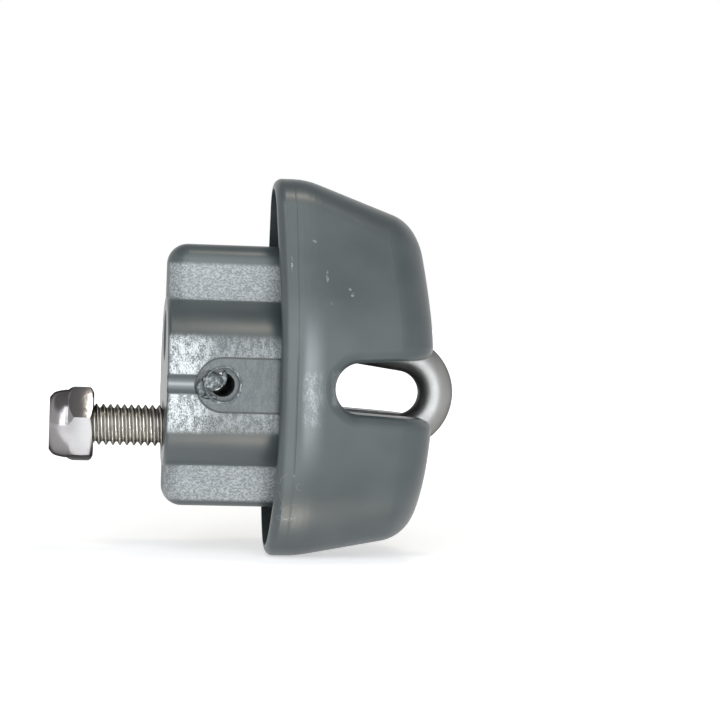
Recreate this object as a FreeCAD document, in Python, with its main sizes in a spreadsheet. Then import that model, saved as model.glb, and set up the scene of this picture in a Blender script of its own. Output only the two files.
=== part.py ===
import FreeCAD
import Part
import math
import os

import Sketcher

# Spreader end fitting: a moulded head and plug for the end of an aerofoil mast spreader, with a hook bolt
# that grips the shroud wire in the head's cross groove, and its lock nut.
#
# The frame, in millimetres: the origin lies on the plug's axis, in the plane where the end of the spreader
# tube seats inside the skirt. +X points outboard, out of the tube, +Z to the pointed edge of the section,
# and Y is the thickness of the section.

SIZES = [
    # the rim: the outline of the head where its skirt covers the tube
    ("rim_width", 30.2, "across the two straight sides"),
    ("rim_point_height", 29.65, "axis to the pointed tip"),
    ("rim_point_radius", 6.8, "radius of the pointed tip"),
    ("rim_round_depth", 24.9, "axis to the round tip"),
    ("rim_round_radius", 8.6, "radius of the round tip"),
    ("rim_side_low", 4.0, "axis to the lower end of the straight sides"),
    ("side_blend_radius", 20.0, "arc between the straight side and the pointed flank"),
    ("flank_angle", 27.0, "pointed flank from the long axis, in degrees"),
    ("band_length", 2.25, "straight band round the rim"),
    ("blend_length", 3.55, "from the band to where the walls reach their full taper"),
    ("rim_edge_round", 1.2, "round on the outer edge of the rim"),
    ("rim_bow_radius", 700.0, "arc of the rim as seen from the side, its tips further back"),
    ("rim_margin", 1.0, "drawn behind the rim, then trimmed to its arc"),
    # the front outline: the tapered walls' section where they would meet the front
    ("front_width", 25.8, "across the sides"),
    ("front_point_height", 22.7, "axis to the pointed end"),
    ("front_point_radius", 9.5, "radius of the pointed end"),
    ("front_round_depth", 21.25, "axis to the round end"),
    ("front_round_radius", 8.0, "radius of the round end"),
    ("front_side_low", 3.4, "axis to the lower end of the sides"),
    ("front_margin", 0.8, "front outline beyond the crown"),
    # the domed front
    ("head_length", 19.15, "tube seat to the crown of the front"),
    ("crown_radius", 152.0, "flat arc over the middle of the front"),
    ("crown_centre", -0.5, "crown above the axis"),
    ("crown_up", 18.5, "crown to the start of the upper shoulder"),
    ("crown_down", 15.5, "crown to the start of the lower shoulder"),
    ("shoulder_radius", 15.0, "arcs that fall away to both ends"),
    ("shoulder_end", 40.0, "where the shoulders run out straight, from the axis, in degrees"),
    ("front_reach", 3.0, "front cut beyond both tips"),
    ("front_round", 6.0, "round between the front and the walls"),
    # the skirt and the plug
    ("skirt_depth", 3.2, "rim to the seat of the tube end"),
    ("skirt_wall", 1.45, "wall of the skirt"),
    ("plug_length", 18.8, "tube seat to the back of the plug"),
    ("barrel_radius", 12.4, "round middle of the plug"),
    ("barrel_edge_round", 0.5, "round on the back edge of the barrel"),
    ("lobe_point_height", 19.8, "axis to the tip of the upper lobe"),
    ("lobe_round_depth", 17.9, "axis to the tip of the lower lobe"),
    ("lobe_tip_radius", 3.2, "round tip of both lobes"),
    ("lobe_root_width", 8.8, "across a lobe at its root"),
    ("lobe_root_height", 8.0, "axis to the root of a lobe, inside the barrel"),
    ("lobe_round", 3.0, "ball round on the back of both lobes"),
    # the cross groove for the wire and the slot for the hook
    ("groove_floor", 4.6, "tube seat to the bottom of the groove"),
    ("groove_radius", 3.6, "half-round bottom of the groove"),
    ("groove_flare", 3.5, "each wall from the axis, in degrees"),
    ("groove_lip_round", 1.8, "round on the lips of the groove"),
    ("slot_side_gap", 1.55, "rod to the sides of the slot"),
    ("slot_low_gap", 2.05, "lower bore to the lower end of the slot"),
    ("slot_high_gap", 0.45, "upper bore or short leg to the upper end of the slot"),
    ("slot_floor", 5.8, "bottom of the slot behind the tube seat"),
    ("slot_lip_round", 0.6, "round on the lips of the slot"),
    ("ledge_width", 1.3, "flat ledge on both sides of the slot, in the groove's bottom"),
    ("ledge_height", 8.0, "the ledge across the groove"),
    ("ledge_depth", 0.25, "the ledge under the groove's bottom"),
    # the bores through the plug
    ("bore_clearance", 0.3, "thread in its bore, on the radius"),
    ("bore_spacing", 13.0, "between the two bores"),
    ("bore_mouth", 0.5, "chamfer at the mouth of the bores"),
    # the fixing screw on both sides of the plug
    ("screw_setback", 11.0, "tube seat to the fixing screw"),
    ("screw_diameter", 3.4, "bore for the fixing screw"),
    ("screw_seat_diameter", 4.9, "shallow seat round the screw bore"),
    ("screw_seat_depth", 1.0, "depth of the seat under the flat"),
    ("torn_offset", 2.0, "torn part of the seat behind the screw bore"),
    ("torn_diameter", 4.1, "torn part of the seat"),
    ("flat_radius", 3.8, "round end and half width of the side flat"),
    ("flat_height", 11.65, "axis to the side flat"),
    ("lead_radius", 1.3, "half-round lead-in from the back to the side flat"),
    # the hook bolt
    ("rod_diameter", 5.1, "plain rod"),
    ("thread_diameter", 5.9, "M6 thread over its crests"),
    ("thread_length", 28.0, "length of the thread"),
    ("thread_chamfer", 0.7, "chamfer on the thread's end"),
    ("thread_runout", 0.38, "chamfer where the thread runs out on the rod"),
    ("bend_radius", 5.7, "hook bend at the middle of the rod"),
    ("eye_reach", 15.1, "tube seat to the centre of the bend"),
    ("shank_length", 49.9, "centre of the bend to the thread's end"),
    ("leg_splay", 8.0, "short leg from the shank, in degrees"),
    ("leg_length", 11.5, "straight part of the short leg"),
    ("leg_chamfer", 0.5, "chamfer on the short leg's end"),
    # the lock nut
    ("nut_overhang", 0.15, "nut past the thread's end"),
    ("nut_flats", 9.8, "across the flats"),
    ("nut_hexagon", 3.8, "height of the hexagon"),
    ("nut_height", 6.3, "whole height with the collar"),
    ("nut_turn", 12.0, "turn of the nut on the bolt, in degrees"),
    ("nut_chamfer_circle", 9.5, "circle that the corner chamfers leave on the face"),
    ("nut_chamfer_angle", 30.0, "corner chamfers from the face, in degrees"),
    ("collar_diameter", 9.1, "collar round the insert"),
    ("collar_round", 1.3, "round on the collar's end"),
    ("collar_lip", 0.45, "rolled lip over the insert"),
    ("collar_mouth", 7.0, "opening in the rolled lip"),
    ("insert_seat", 7.7, "seat of the insert"),
    ("insert_height", 1.7, "height of the insert"),
    ("insert_clearance", 0.03, "insert in its seat, all round"),
    ("thread_clearance", 0.05, "nut and insert over the thread, on the radius"),
]

doc = FreeCAD.newDocument("spreader_end_fitting")
sheet = doc.addObject("Spreadsheet::Sheet", "sizes")
VALUE = {}


def fill_sheet():
    """Writes every driving size into the sheet: its name, its value and what it measures."""
    for row, (name, value, words) in enumerate(SIZES, start=1):
        sheet.set("A%d" % row, name)
        sheet.set("B%d" % row, str(value))
        sheet.set("C%d" % row, words)
        sheet.setAlias("B%d" % row, name)
        VALUE[name] = value
    doc.recompute()


def new_body(label):
    body = doc.addObject("PartDesign::Body", label)
    body.Label = label
    return body


def plane_of(body, role):
    """One of the body's own origin planes."""
    return next(f for f in body.Origin.OriginFeatures if f.Role == role)


def new_sketch(body, name, role, offset=None):
    """A sketch on one of the body's planes, moved off it along its normal by an expression."""
    sketch = body.newObject("Sketcher::SketchObject", name)
    sketch.AttachmentSupport = (plane_of(body, role), [""])
    sketch.MapMode = "FlatFace"
    if offset:
        sketch.setExpression("AttachmentOffset.Base.z", offset)
    return sketch


def dimension(sketch, kind, where, value, name, expression):
    """A named dimension whose value follows the sheet."""
    index = sketch.addConstraint(Sketcher.Constraint(kind, *where, value))
    sketch.renameConstraint(index, name)
    sketch.setExpression("Constraints." + name, expression)


def line(sketch, start, end):
    a = FreeCAD.Vector(start[0], start[1], 0)
    b = FreeCAD.Vector(end[0], end[1], 0)
    return sketch.addGeometry(Part.LineSegment(a, b), False)


def arc(sketch, centre, radius, start, end):
    """An arc that runs anticlockwise between two angles in radians."""
    circle = Part.Circle(FreeCAD.Vector(centre[0], centre[1], 0), FreeCAD.Vector(0, 0, 1), radius)
    return sketch.addGeometry(Part.ArcOfCircle(circle, start, end), False)


def circle_at(sketch, name, across, up, radius, expressions):
    """A circle whose centre and radius follow three expressions: across, up and radius."""
    centre = FreeCAD.Vector(across, up, 0)
    ring = sketch.addGeometry(Part.Circle(centre, FreeCAD.Vector(0, 0, 1), radius), False)
    if expressions[0]:
        dimension(sketch, "DistanceX", (-1, 1, ring, 3), across, name + "_across", expressions[0])
    else:
        sketch.addConstraint(Sketcher.Constraint("PointOnObject", ring, 3, -2))
    if expressions[1]:
        dimension(sketch, "DistanceY", (-1, 1, ring, 3), up, name + "_up", expressions[1])
    else:
        sketch.addConstraint(Sketcher.Constraint("PointOnObject", ring, 3, -1))
    dimension(sketch, "Radius", (ring,), radius, name + "_radius", expressions[2])
    return ring


def feature(body, kind, name, profile, **settings):
    """A PartDesign feature on a sketch. A string setting is an expression."""
    made = body.newObject("PartDesign::" + kind, name)
    made.Profile = profile
    apply_settings(made, settings)
    doc.recompute()
    return made


def apply_settings(made, settings):
    for key, value in settings.items():
        if isinstance(value, str) and key in ("Length", "Length2", "Angle", "Radius", "Size"):
            made.setExpression(key, value)
        else:
            setattr(made, key, value)


def dress(body, kind, name, base, edges, **settings):
    """A fillet or chamfer on the edges of the last feature."""
    made = body.newObject("PartDesign::" + kind, name)
    made.Base = (base, edges)
    apply_settings(made, settings)
    doc.recompute()
    return made


def faces_where(shape, test):
    return [face for face in shape.Faces if test(face)]


def border_edges(shape, faces, within=None):
    """Names of the edges between the given faces and the rest, if their middle passes the test."""
    owners = {}
    for face in shape.Faces:
        chosen = any(face.isSame(other) for other in faces)
        for edge in face.Edges:
            owners.setdefault(edge.hashCode(), []).append(chosen)
    names = []
    for index, edge in enumerate(shape.Edges, start=1):
        if sorted(owners[edge.hashCode()]) == [False, True] and (not within or within(edge.CenterOfMass)):
            names.append("Edge%d" % index)
    return names


def edges_where(shape, test):
    return ["Edge%d" % index for index, edge in enumerate(shape.Edges, start=1) if test(edge)]


def lens_outline(body, name, offset, size, inset="0"):
    """The section's outline: pointed tip up, round tip down, straight sides between.

    size maps width, point, point_radius, round, round_radius and side_low to expressions, all measured on
    the full outline. inset moves the whole outline inwards.
    """
    value = {key: evaluate(text) for key, text in size.items()}
    wall = evaluate(inset)
    lean = math.radians(VALUE["flank_angle"])
    half = value["width"] / 2 - wall
    tip_radius = value["point_radius"] - wall
    end_radius = value["round_radius"] - wall
    blend = VALUE["side_blend_radius"] - wall
    tip_centre = value["point"] - value["point_radius"]
    end_centre = value["round_radius"] - value["round"]
    low = -value["side_low"]

    flank_top = (tip_radius * math.cos(lean), tip_centre + tip_radius * math.sin(lean))
    reach = flank_top[0] * math.cos(lean) + flank_top[1] * math.sin(lean)
    corner = (reach - half * math.cos(lean)) / math.sin(lean)
    high = corner - blend * math.tan(lean / 2)
    blend_centre = (half - blend, high)
    flank_foot = (
        blend_centre[0] + blend * math.cos(lean),
        blend_centre[1] + blend * math.sin(lean),
    )
    drop = low - end_centre
    sweep = (half**2 + drop**2 - end_radius**2) / (2 * (half - end_radius))
    sweep_centre = (half - sweep, low)
    turn = math.atan2(end_centre - low, sweep - half)
    joint = (
        sweep_centre[0] + sweep * math.cos(turn),
        sweep_centre[1] + sweep * math.sin(turn),
    )

    sketch = new_sketch(body, name, "YZ_Plane", offset)
    tip = arc(sketch, (0, tip_centre), tip_radius, lean, math.pi - lean)
    flank = line(sketch, flank_top, flank_foot)
    shoulder = arc(sketch, blend_centre, blend, 0, lean)
    side = line(sketch, (half, high), (half, low))
    hip = arc(sketch, sweep_centre, sweep, turn, 0)
    end = arc(sketch, (0, end_centre), end_radius, math.pi - turn, turn)
    flank2 = line(sketch, (-flank_top[0], flank_top[1]), (-flank_foot[0], flank_foot[1]))
    shoulder2 = arc(sketch, (-blend_centre[0], high), blend, math.pi - lean, math.pi)
    side2 = line(sketch, (-half, high), (-half, low))
    hip2 = arc(sketch, (-sweep_centre[0], low), sweep, math.pi, math.pi - turn)

    tangent = [(tip, 1, flank, 1), (flank, 2, shoulder, 2), (shoulder, 1, side, 1), (side, 2, hip, 2)]
    tangent.append((hip, 1, end, 2))
    meeting = [(tip, 2, flank2, 1), (flank2, 2, shoulder2, 1), (shoulder2, 2, side2, 1)]
    meeting += [(side2, 2, hip2, 1), (hip2, 2, end, 1)]
    mirrored = [(flank, 1, flank2, 1), (flank, 2, flank2, 2), (side, 1, side2, 1), (side, 2, side2, 2)]
    mirrored.append((hip, 1, hip2, 2))
    for joint in tangent:
        sketch.addConstraint(Sketcher.Constraint("Tangent", *joint))
    for joint in meeting:
        sketch.addConstraint(Sketcher.Constraint("Coincident", *joint))
    for pair in mirrored:
        sketch.addConstraint(Sketcher.Constraint("Symmetric", *pair, -2))
    sketch.addConstraint(Sketcher.Constraint("Equal", shoulder, shoulder2))
    sketch.addConstraint(Sketcher.Constraint("Equal", hip, hip2))
    sketch.addConstraint(Sketcher.Constraint("Vertical", side))
    less = " - " + inset
    dimension(sketch, "DistanceX", (-1, 1, side, 1), half, "half_width", size["width"] + " / 2" + less)
    dimension(sketch, "Radius", (tip,), tip_radius, "tip_radius", size["point_radius"] + less)
    tip_up = size["point"] + " - " + size["point_radius"]
    dimension(sketch, "DistanceY", (-1, 1, tip, 3), tip_centre, "tip_centre", tip_up)
    dimension(sketch, "Radius", (end,), end_radius, "end_radius", size["round_radius"] + less)
    end_up = size["round_radius"] + " - " + size["round"]
    dimension(sketch, "DistanceY", (-1, 1, end, 3), end_centre, "end_centre", end_up)
    dimension(sketch, "DistanceY", (-1, 1, side, 2), low, "side_low", "-" + size["side_low"])
    dimension(sketch, "Radius", (shoulder,), blend, "blend_radius", "sizes.side_blend_radius" + less)
    dimension(sketch, "Angle", (flank,), lean - math.pi / 2, "lean", "sizes.flank_angle - 90")
    return sketch


def evaluate(text):
    """The value of an expression on the sheet, for a sketch's first, unsolved shape."""
    return float(sheet.evalExpression(text.replace("sizes.", "")))


NEAR = 1e-6

RIM = {
    "width": "sizes.rim_width",
    "point": "sizes.rim_point_height",
    "point_radius": "sizes.rim_point_radius",
    "round": "sizes.rim_round_depth",
    "round_radius": "sizes.rim_round_radius",
    "side_low": "sizes.rim_side_low",
}
FRONT = {key: text.replace("rim", "front") for key, text in RIM.items()}
TRIM = "sizes.front_margin"
RIM_START = "(-sizes.skirt_depth - sizes.rim_margin)"
BAND_END = "(sizes.band_length - sizes.skirt_depth)"
WALL_END = "(sizes.head_length + sizes.front_margin)"
BLEND_STEPS = 4
SLOT_RADIUS = "(sizes.rod_diameter / 2 + sizes.slot_side_gap)"
LEDGE_HALF = "(" + SLOT_RADIUS + " + sizes.ledge_width)"
BORE_RADIUS = "(sizes.thread_diameter / 2 + sizes.bore_clearance)"
BORE_EDGE = "(sizes.bore_spacing / 2 + " + BORE_RADIUS + ")"
BEND_HEIGHT = "(sizes.bend_radius - sizes.bore_spacing / 2)"
LEG_EDGE = (
    "(" + BEND_HEIGHT + " + sizes.bend_radius + sizes.leg_length * sin(sizes.leg_splay)"
    " + sizes.rod_diameter / 2)"
)
SLOT_TOP = "(max(" + BORE_EDGE + "; " + LEG_EDGE + ") + sizes.slot_high_gap)"
LEAD_RADIUS = "sizes.lead_radius"
SEAT_RADIUS = "sizes.screw_seat_diameter / 2"
TORN_RADIUS = "sizes.torn_diameter / 2"
SCREW_RADIUS = "sizes.screw_diameter / 2"
HEX_RADIUS = "sizes.nut_flats / sqrt(3)"
CHAMFER_REACH = "sizes.nut_flats * 2 / 3"
THREAD_HOLE = "sizes.thread_diameter / 2 + sizes.thread_clearance"
NUT_PLACE = "sizes.eye_reach - sizes.shank_length - sizes.nut_overhang + sizes.nut_height"
SLOT_BOTTOM = "(-" + BORE_EDGE + " - sizes.slot_low_gap)"


def rim_profile(body):
    """Everything behind the rim, whose tips lie further back than its middle."""
    bow = VALUE["rim_bow_radius"]
    middle = -VALUE["skirt_depth"]
    behind = middle - 2 * VALUE["rim_margin"]
    top = VALUE["rim_point_height"] + VALUE["rim_margin"]
    bottom = -VALUE["rim_round_depth"] - VALUE["rim_margin"]
    high = math.asin(top / bow)
    deep = math.asin(bottom / bow)
    centre = middle - bow
    sketch = new_sketch(body, "rim_profile", "XZ_Plane")
    edge = arc(sketch, (centre, 0), bow, deep, high)
    roof = line(sketch, (centre + bow * math.cos(high), top), (behind, top))
    wall = line(sketch, (behind, top), (behind, bottom))
    floor = line(sketch, (behind, bottom), (centre + bow * math.cos(deep), bottom))
    for joint in [(edge, 2, roof, 1), (roof, 2, wall, 1), (wall, 2, floor, 1), (floor, 2, edge, 1)]:
        sketch.addConstraint(Sketcher.Constraint("Coincident", *joint))
    for side in (roof, floor):
        sketch.addConstraint(Sketcher.Constraint("Horizontal", side))
    sketch.addConstraint(Sketcher.Constraint("Vertical", wall))
    sketch.addConstraint(Sketcher.Constraint("PointOnObject", edge, 3, -1))
    margin = " + sizes.rim_margin"
    back = "sizes.skirt_depth + 2 * sizes.rim_margin"
    bow_centre = "sizes.skirt_depth + sizes.rim_bow_radius"
    dimension(sketch, "Radius", (edge,), bow, "bow", "sizes.rim_bow_radius")
    dimension(sketch, "DistanceX", (edge, 3, -1, 1), -centre, "centre", bow_centre)
    dimension(sketch, "DistanceY", (-1, 1, roof, 1), top, "top", "sizes.rim_point_height" + margin)
    dimension(sketch, "DistanceY", (floor, 1, -1, 1), -bottom, "bottom", "sizes.rim_round_depth" + margin)
    dimension(sketch, "DistanceX", (wall, 1, -1, 1), -behind, "behind", back)
    return sketch


def front_profile(body):
    """Everything ahead of the domed front: a flat arc over the middle, and two shoulders."""
    reach = VALUE["head_length"] + VALUE["front_margin"]
    crown = VALUE["crown_radius"]
    small = VALUE["shoulder_radius"]
    mid = VALUE["crown_centre"]
    up = math.asin(VALUE["crown_up"] / crown)
    down = math.asin(VALUE["crown_down"] / crown)
    back = VALUE["head_length"] - crown
    top = VALUE["rim_point_height"] + VALUE["front_reach"]
    bottom = -VALUE["rim_round_depth"] - VALUE["front_reach"]
    upper = (back + (crown - small) * math.cos(up), mid + (crown - small) * math.sin(up))
    lower = (back + (crown - small) * math.cos(down), mid - (crown - small) * math.sin(down))
    fall = math.radians(VALUE["shoulder_end"])
    high_end = (upper[0] + small * math.cos(fall), upper[1] + small * math.sin(fall))
    low_end = (lower[0] + small * math.cos(fall), lower[1] - small * math.sin(fall))
    roof_start = (high_end[0] - (top - high_end[1]) * math.tan(fall), top)
    floor_end = (low_end[0] - (low_end[1] - bottom) * math.tan(fall), bottom)

    sketch = new_sketch(body, "front_profile", "XZ_Plane")
    low_arc = arc(sketch, lower, small, -fall, -down)
    crown_arc = arc(sketch, (back, mid), crown, -down, up)
    high_arc = arc(sketch, upper, small, up, fall)
    high_fall = line(sketch, high_end, roof_start)
    roof = line(sketch, roof_start, (reach, top))
    wall = line(sketch, (reach, top), (reach, bottom))
    floor = line(sketch, (reach, bottom), floor_end)
    low_fall = line(sketch, floor_end, low_end)
    tangent = [(low_arc, 2, crown_arc, 1), (crown_arc, 2, high_arc, 1)]
    tangent += [(high_arc, 2, high_fall, 1), (low_fall, 2, low_arc, 1)]
    meeting = [(high_fall, 2, roof, 1), (roof, 2, wall, 1), (wall, 2, floor, 1), (floor, 2, low_fall, 1)]
    for joint in tangent:
        sketch.addConstraint(Sketcher.Constraint("Tangent", *joint))
    for joint in meeting:
        sketch.addConstraint(Sketcher.Constraint("Coincident", *joint))
    for edge in (roof, floor):
        sketch.addConstraint(Sketcher.Constraint("Horizontal", edge))
    sketch.addConstraint(Sketcher.Constraint("Vertical", wall))
    sketch.addConstraint(Sketcher.Constraint("Equal", low_arc, high_arc))
    crown_back = "sizes.head_length - sizes.crown_radius"
    dimension(sketch, "Radius", (crown_arc,), crown, "crown", "sizes.crown_radius")
    dimension(sketch, "Radius", (high_arc,), small, "shoulder", "sizes.shoulder_radius")
    dimension(sketch, "DistanceX", (-1, 1, crown_arc, 3), back, "crown_back", crown_back)
    dimension(sketch, "DistanceY", (-1, 1, crown_arc, 3), mid, "crown_mid", "sizes.crown_centre")
    dimension(sketch, "DistanceY", (crown_arc, 3, crown_arc, 2), VALUE["crown_up"], "up", "sizes.crown_up")
    dimension(
        sketch, "DistanceY", (crown_arc, 1, crown_arc, 3), VALUE["crown_down"], "down", "sizes.crown_down"
    )
    beyond = " + sizes.front_reach"
    dimension(sketch, "DistanceY", (-1, 1, roof, 1), top, "top", "sizes.rim_point_height" + beyond)
    dimension(sketch, "DistanceY", (floor, 1, -1, 1), -bottom, "bottom", "sizes.rim_round_depth" + beyond)
    dimension(sketch, "DistanceX", (-1, 1, wall, 1), reach, "reach", "sizes.head_length + " + TRIM)
    square = math.pi / 2
    dimension(sketch, "Angle", (high_fall,), square + fall, "high_fall", "90 + sizes.shoulder_end")
    dimension(sketch, "Angle", (low_fall,), square - fall, "low_fall", "90 - sizes.shoulder_end")
    return sketch


def blade_outline(body):
    """The plug's two lobes, drawn as one blade that runs through the barrel."""
    tip = VALUE["lobe_tip_radius"]
    root = VALUE["lobe_root_width"] / 2
    rise = VALUE["lobe_root_height"]
    sketch = new_sketch(body, "blade_outline", "YZ_Plane", "-sizes.plug_length")
    sides = []
    tips = []
    for sign, reach in ((1, VALUE["lobe_point_height"]), (-1, VALUE["lobe_round_depth"])):
        centre = reach - tip
        span = math.hypot(root, centre - rise)
        turn = math.atan2(rise - centre, root) + math.acos(tip / span)
        touch = (tip * math.cos(turn), centre + tip * math.sin(turn))
        if sign > 0:
            tips.append(arc(sketch, (0, centre), tip, turn, math.pi - turn))
        else:
            tips.append(arc(sketch, (0, -centre), tip, math.pi + turn, 2 * math.pi - turn))
        sides.append(line(sketch, (touch[0], sign * touch[1]), (root, sign * rise)))
        sides.append(line(sketch, (-touch[0], sign * touch[1]), (-root, sign * rise)))
    right = line(sketch, (root, rise), (root, -rise))
    left = line(sketch, (-root, rise), (-root, -rise))
    up_right, up_left, low_right, low_left = sides
    tangent = [(tips[0], 1, up_right, 1), (tips[0], 2, up_left, 1)]
    tangent += [(tips[1], 2, low_right, 1), (tips[1], 1, low_left, 1)]
    meeting = [(up_right, 2, right, 1), (low_right, 2, right, 2)]
    meeting += [(up_left, 2, left, 1), (low_left, 2, left, 2)]
    for joint in tangent:
        sketch.addConstraint(Sketcher.Constraint("Tangent", *joint))
    for joint in meeting:
        sketch.addConstraint(Sketcher.Constraint("Coincident", *joint))
    sketch.addConstraint(Sketcher.Constraint("Vertical", right))
    sketch.addConstraint(Sketcher.Constraint("Symmetric", right, 1, left, 1, -2))
    sketch.addConstraint(Sketcher.Constraint("Symmetric", right, 2, left, 2, -2))
    sketch.addConstraint(Sketcher.Constraint("PointOnObject", tips[0], 3, -2))
    sketch.addConstraint(Sketcher.Constraint("PointOnObject", tips[1], 3, -2))
    sketch.addConstraint(Sketcher.Constraint("Equal", tips[0], tips[1]))
    tip_name = "sizes.lobe_tip_radius"
    dimension(sketch, "Radius", (tips[0],), tip, "tip_radius", tip_name)
    up = VALUE["lobe_point_height"] - tip
    down = VALUE["lobe_round_depth"] - tip
    dimension(sketch, "DistanceY", (-1, 1, tips[0], 3), up, "up", "sizes.lobe_point_height - " + tip_name)
    dimension(sketch, "DistanceY", (tips[1], 3, -1, 1), down, "down", "sizes.lobe_round_depth - " + tip_name)
    dimension(sketch, "DistanceX", (-1, 1, right, 1), root, "root", "sizes.lobe_root_width / 2")
    dimension(sketch, "DistanceY", (-1, 1, right, 1), rise, "rise", "sizes.lobe_root_height")
    dimension(sketch, "DistanceY", (right, 2, -1, 1), rise, "fall", "sizes.lobe_root_height")
    return sketch


def barrel_profile(body):
    """Half the barrel's section, for turning about the plug's axis: its back corner is rounded."""
    length = VALUE["plug_length"]
    radius = VALUE["barrel_radius"]
    edge = VALUE["barrel_edge_round"]
    sketch = new_sketch(body, "barrel_profile", "XZ_Plane")
    axis = line(sketch, (-length, 0), (0, 0))
    front = line(sketch, (0, 0), (0, radius))
    top = line(sketch, (0, radius), (edge - length, radius))
    corner = arc(sketch, (edge - length, radius - edge), edge, math.pi / 2, math.pi)
    back = line(sketch, (-length, radius - edge), (-length, 0))
    for joint in [(axis, 2, front, 1), (front, 2, top, 1), (back, 2, axis, 1)]:
        sketch.addConstraint(Sketcher.Constraint("Coincident", *joint))
    for joint in [(top, 2, corner, 1), (corner, 2, back, 1)]:
        sketch.addConstraint(Sketcher.Constraint("Tangent", *joint))
    sketch.addConstraint(Sketcher.Constraint("Coincident", axis, 2, -1, 1))
    sketch.addConstraint(Sketcher.Constraint("Horizontal", axis))
    sketch.addConstraint(Sketcher.Constraint("Vertical", front))
    sketch.addConstraint(Sketcher.Constraint("Horizontal", top))
    sketch.addConstraint(Sketcher.Constraint("Vertical", back))
    dimension(sketch, "DistanceX", (axis, 1, -1, 1), length, "length", "sizes.plug_length")
    dimension(sketch, "DistanceY", (-1, 1, front, 2), radius, "radius", "sizes.barrel_radius")
    dimension(sketch, "Radius", (corner,), edge, "edge", "sizes.barrel_edge_round")
    return sketch


def groove_profile(body):
    """The cross groove: a half-round bottom between two walls that flare to the front."""
    radius = VALUE["groove_radius"]
    flare = math.radians(VALUE["groove_flare"])
    mid = VALUE["groove_floor"] + radius
    reach = VALUE["head_length"] + VALUE["front_margin"]
    foot = (mid - radius * math.sin(flare), radius * math.cos(flare))
    mouth = foot[1] + (reach - foot[0]) * math.tan(flare)
    sketch = new_sketch(body, "groove_profile", "XZ_Plane")
    bottom = arc(sketch, (mid, 0), radius, math.pi / 2 + flare, 3 * math.pi / 2 - flare)
    upper = line(sketch, foot, (reach, mouth))
    lower = line(sketch, (foot[0], -foot[1]), (reach, -mouth))
    front = line(sketch, (reach, mouth), (reach, -mouth))
    for joint in [(upper, 1, bottom, 1), (lower, 1, bottom, 2)]:
        sketch.addConstraint(Sketcher.Constraint("Tangent", *joint))
    for joint in [(upper, 2, front, 1), (lower, 2, front, 2)]:
        sketch.addConstraint(Sketcher.Constraint("Coincident", *joint))
    sketch.addConstraint(Sketcher.Constraint("PointOnObject", bottom, 3, -1))
    sketch.addConstraint(Sketcher.Constraint("Vertical", front))
    middle = "sizes.groove_floor + sizes.groove_radius"
    dimension(sketch, "DistanceX", (-1, 1, bottom, 3), mid, "middle", middle)
    dimension(sketch, "Radius", (bottom,), radius, "radius", "sizes.groove_radius")
    dimension(sketch, "Angle", (upper,), flare, "flare", "sizes.groove_flare")
    dimension(sketch, "Angle", (lower,), -flare, "flare_down", "-sizes.groove_flare")
    dimension(sketch, "DistanceX", (-1, 1, front, 1), reach, "reach", "sizes.head_length + " + TRIM)
    return sketch


def slot_outline(body):
    """The slot for the hook: two straight sides and two round ends."""
    radius = evaluate(SLOT_RADIUS)
    top = evaluate(SLOT_TOP) - radius
    bottom = evaluate(SLOT_BOTTOM) + radius
    sketch = new_sketch(body, "slot_outline", "YZ_Plane", "sizes.head_length + " + TRIM)
    high = arc(sketch, (0, top), radius, 0, math.pi)
    low = arc(sketch, (0, bottom), radius, math.pi, 2 * math.pi)
    left = line(sketch, (-radius, top), (-radius, bottom))
    right = line(sketch, (radius, top), (radius, bottom))
    for joint in [(high, 2, left, 1), (left, 2, low, 1), (low, 2, right, 2), (right, 1, high, 1)]:
        sketch.addConstraint(Sketcher.Constraint("Tangent", *joint))
    for end in (high, low):
        sketch.addConstraint(Sketcher.Constraint("PointOnObject", end, 3, -2))
    sketch.addConstraint(Sketcher.Constraint("Equal", high, low))
    dimension(sketch, "Radius", (high,), radius, "radius", SLOT_RADIUS)
    dimension(sketch, "DistanceY", (-1, 1, high, 3), top, "top", SLOT_TOP + " - " + SLOT_RADIUS)
    low_end = "-" + SLOT_BOTTOM + " - " + SLOT_RADIUS
    dimension(sketch, "DistanceY", (low, 3, -1, 1), -bottom, "bottom", low_end)
    return sketch


def side_flat_outline(body):
    """The flat on the plug's side: from the tube seat to a round end about the fixing screw."""
    radius = VALUE["flat_radius"]
    back = -VALUE["screw_setback"]
    sketch = new_sketch(body, "side_flat_outline", "XZ_Plane", "sizes.flat_height")
    end = arc(sketch, (back, 0), radius, math.pi / 2, 3 * math.pi / 2)
    upper = line(sketch, (back, radius), (0, radius))
    seat = line(sketch, (0, radius), (0, -radius))
    lower = line(sketch, (0, -radius), (back, -radius))
    for joint in [(end, 1, upper, 1), (end, 2, lower, 2)]:
        sketch.addConstraint(Sketcher.Constraint("Tangent", *joint))
    for joint in [(upper, 2, seat, 1), (seat, 2, lower, 1)]:
        sketch.addConstraint(Sketcher.Constraint("Coincident", *joint))
    sketch.addConstraint(Sketcher.Constraint("Horizontal", upper))
    sketch.addConstraint(Sketcher.Constraint("Vertical", seat))
    sketch.addConstraint(Sketcher.Constraint("PointOnObject", end, 3, -1))
    sketch.addConstraint(Sketcher.Constraint("PointOnObject", seat, 1, -2))
    sketch.addConstraint(Sketcher.Constraint("Horizontal", lower))
    dimension(sketch, "Radius", (end,), radius, "radius", "sizes.flat_radius")
    dimension(sketch, "DistanceX", (end, 3, -1, 1), -back, "back", "sizes.screw_setback")
    return sketch


def disc(body, name, role, offset, across, up, radius):
    """A sketch with one circle on a plane of the body. The texts are expressions, or None for zero."""
    sketch = new_sketch(body, name, role, offset)
    start = [evaluate(text) if text else 0.0 for text in (across, up)]
    circle_at(sketch, "ring", start[0], start[1], evaluate(radius), (across, up, radius))
    return sketch


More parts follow.
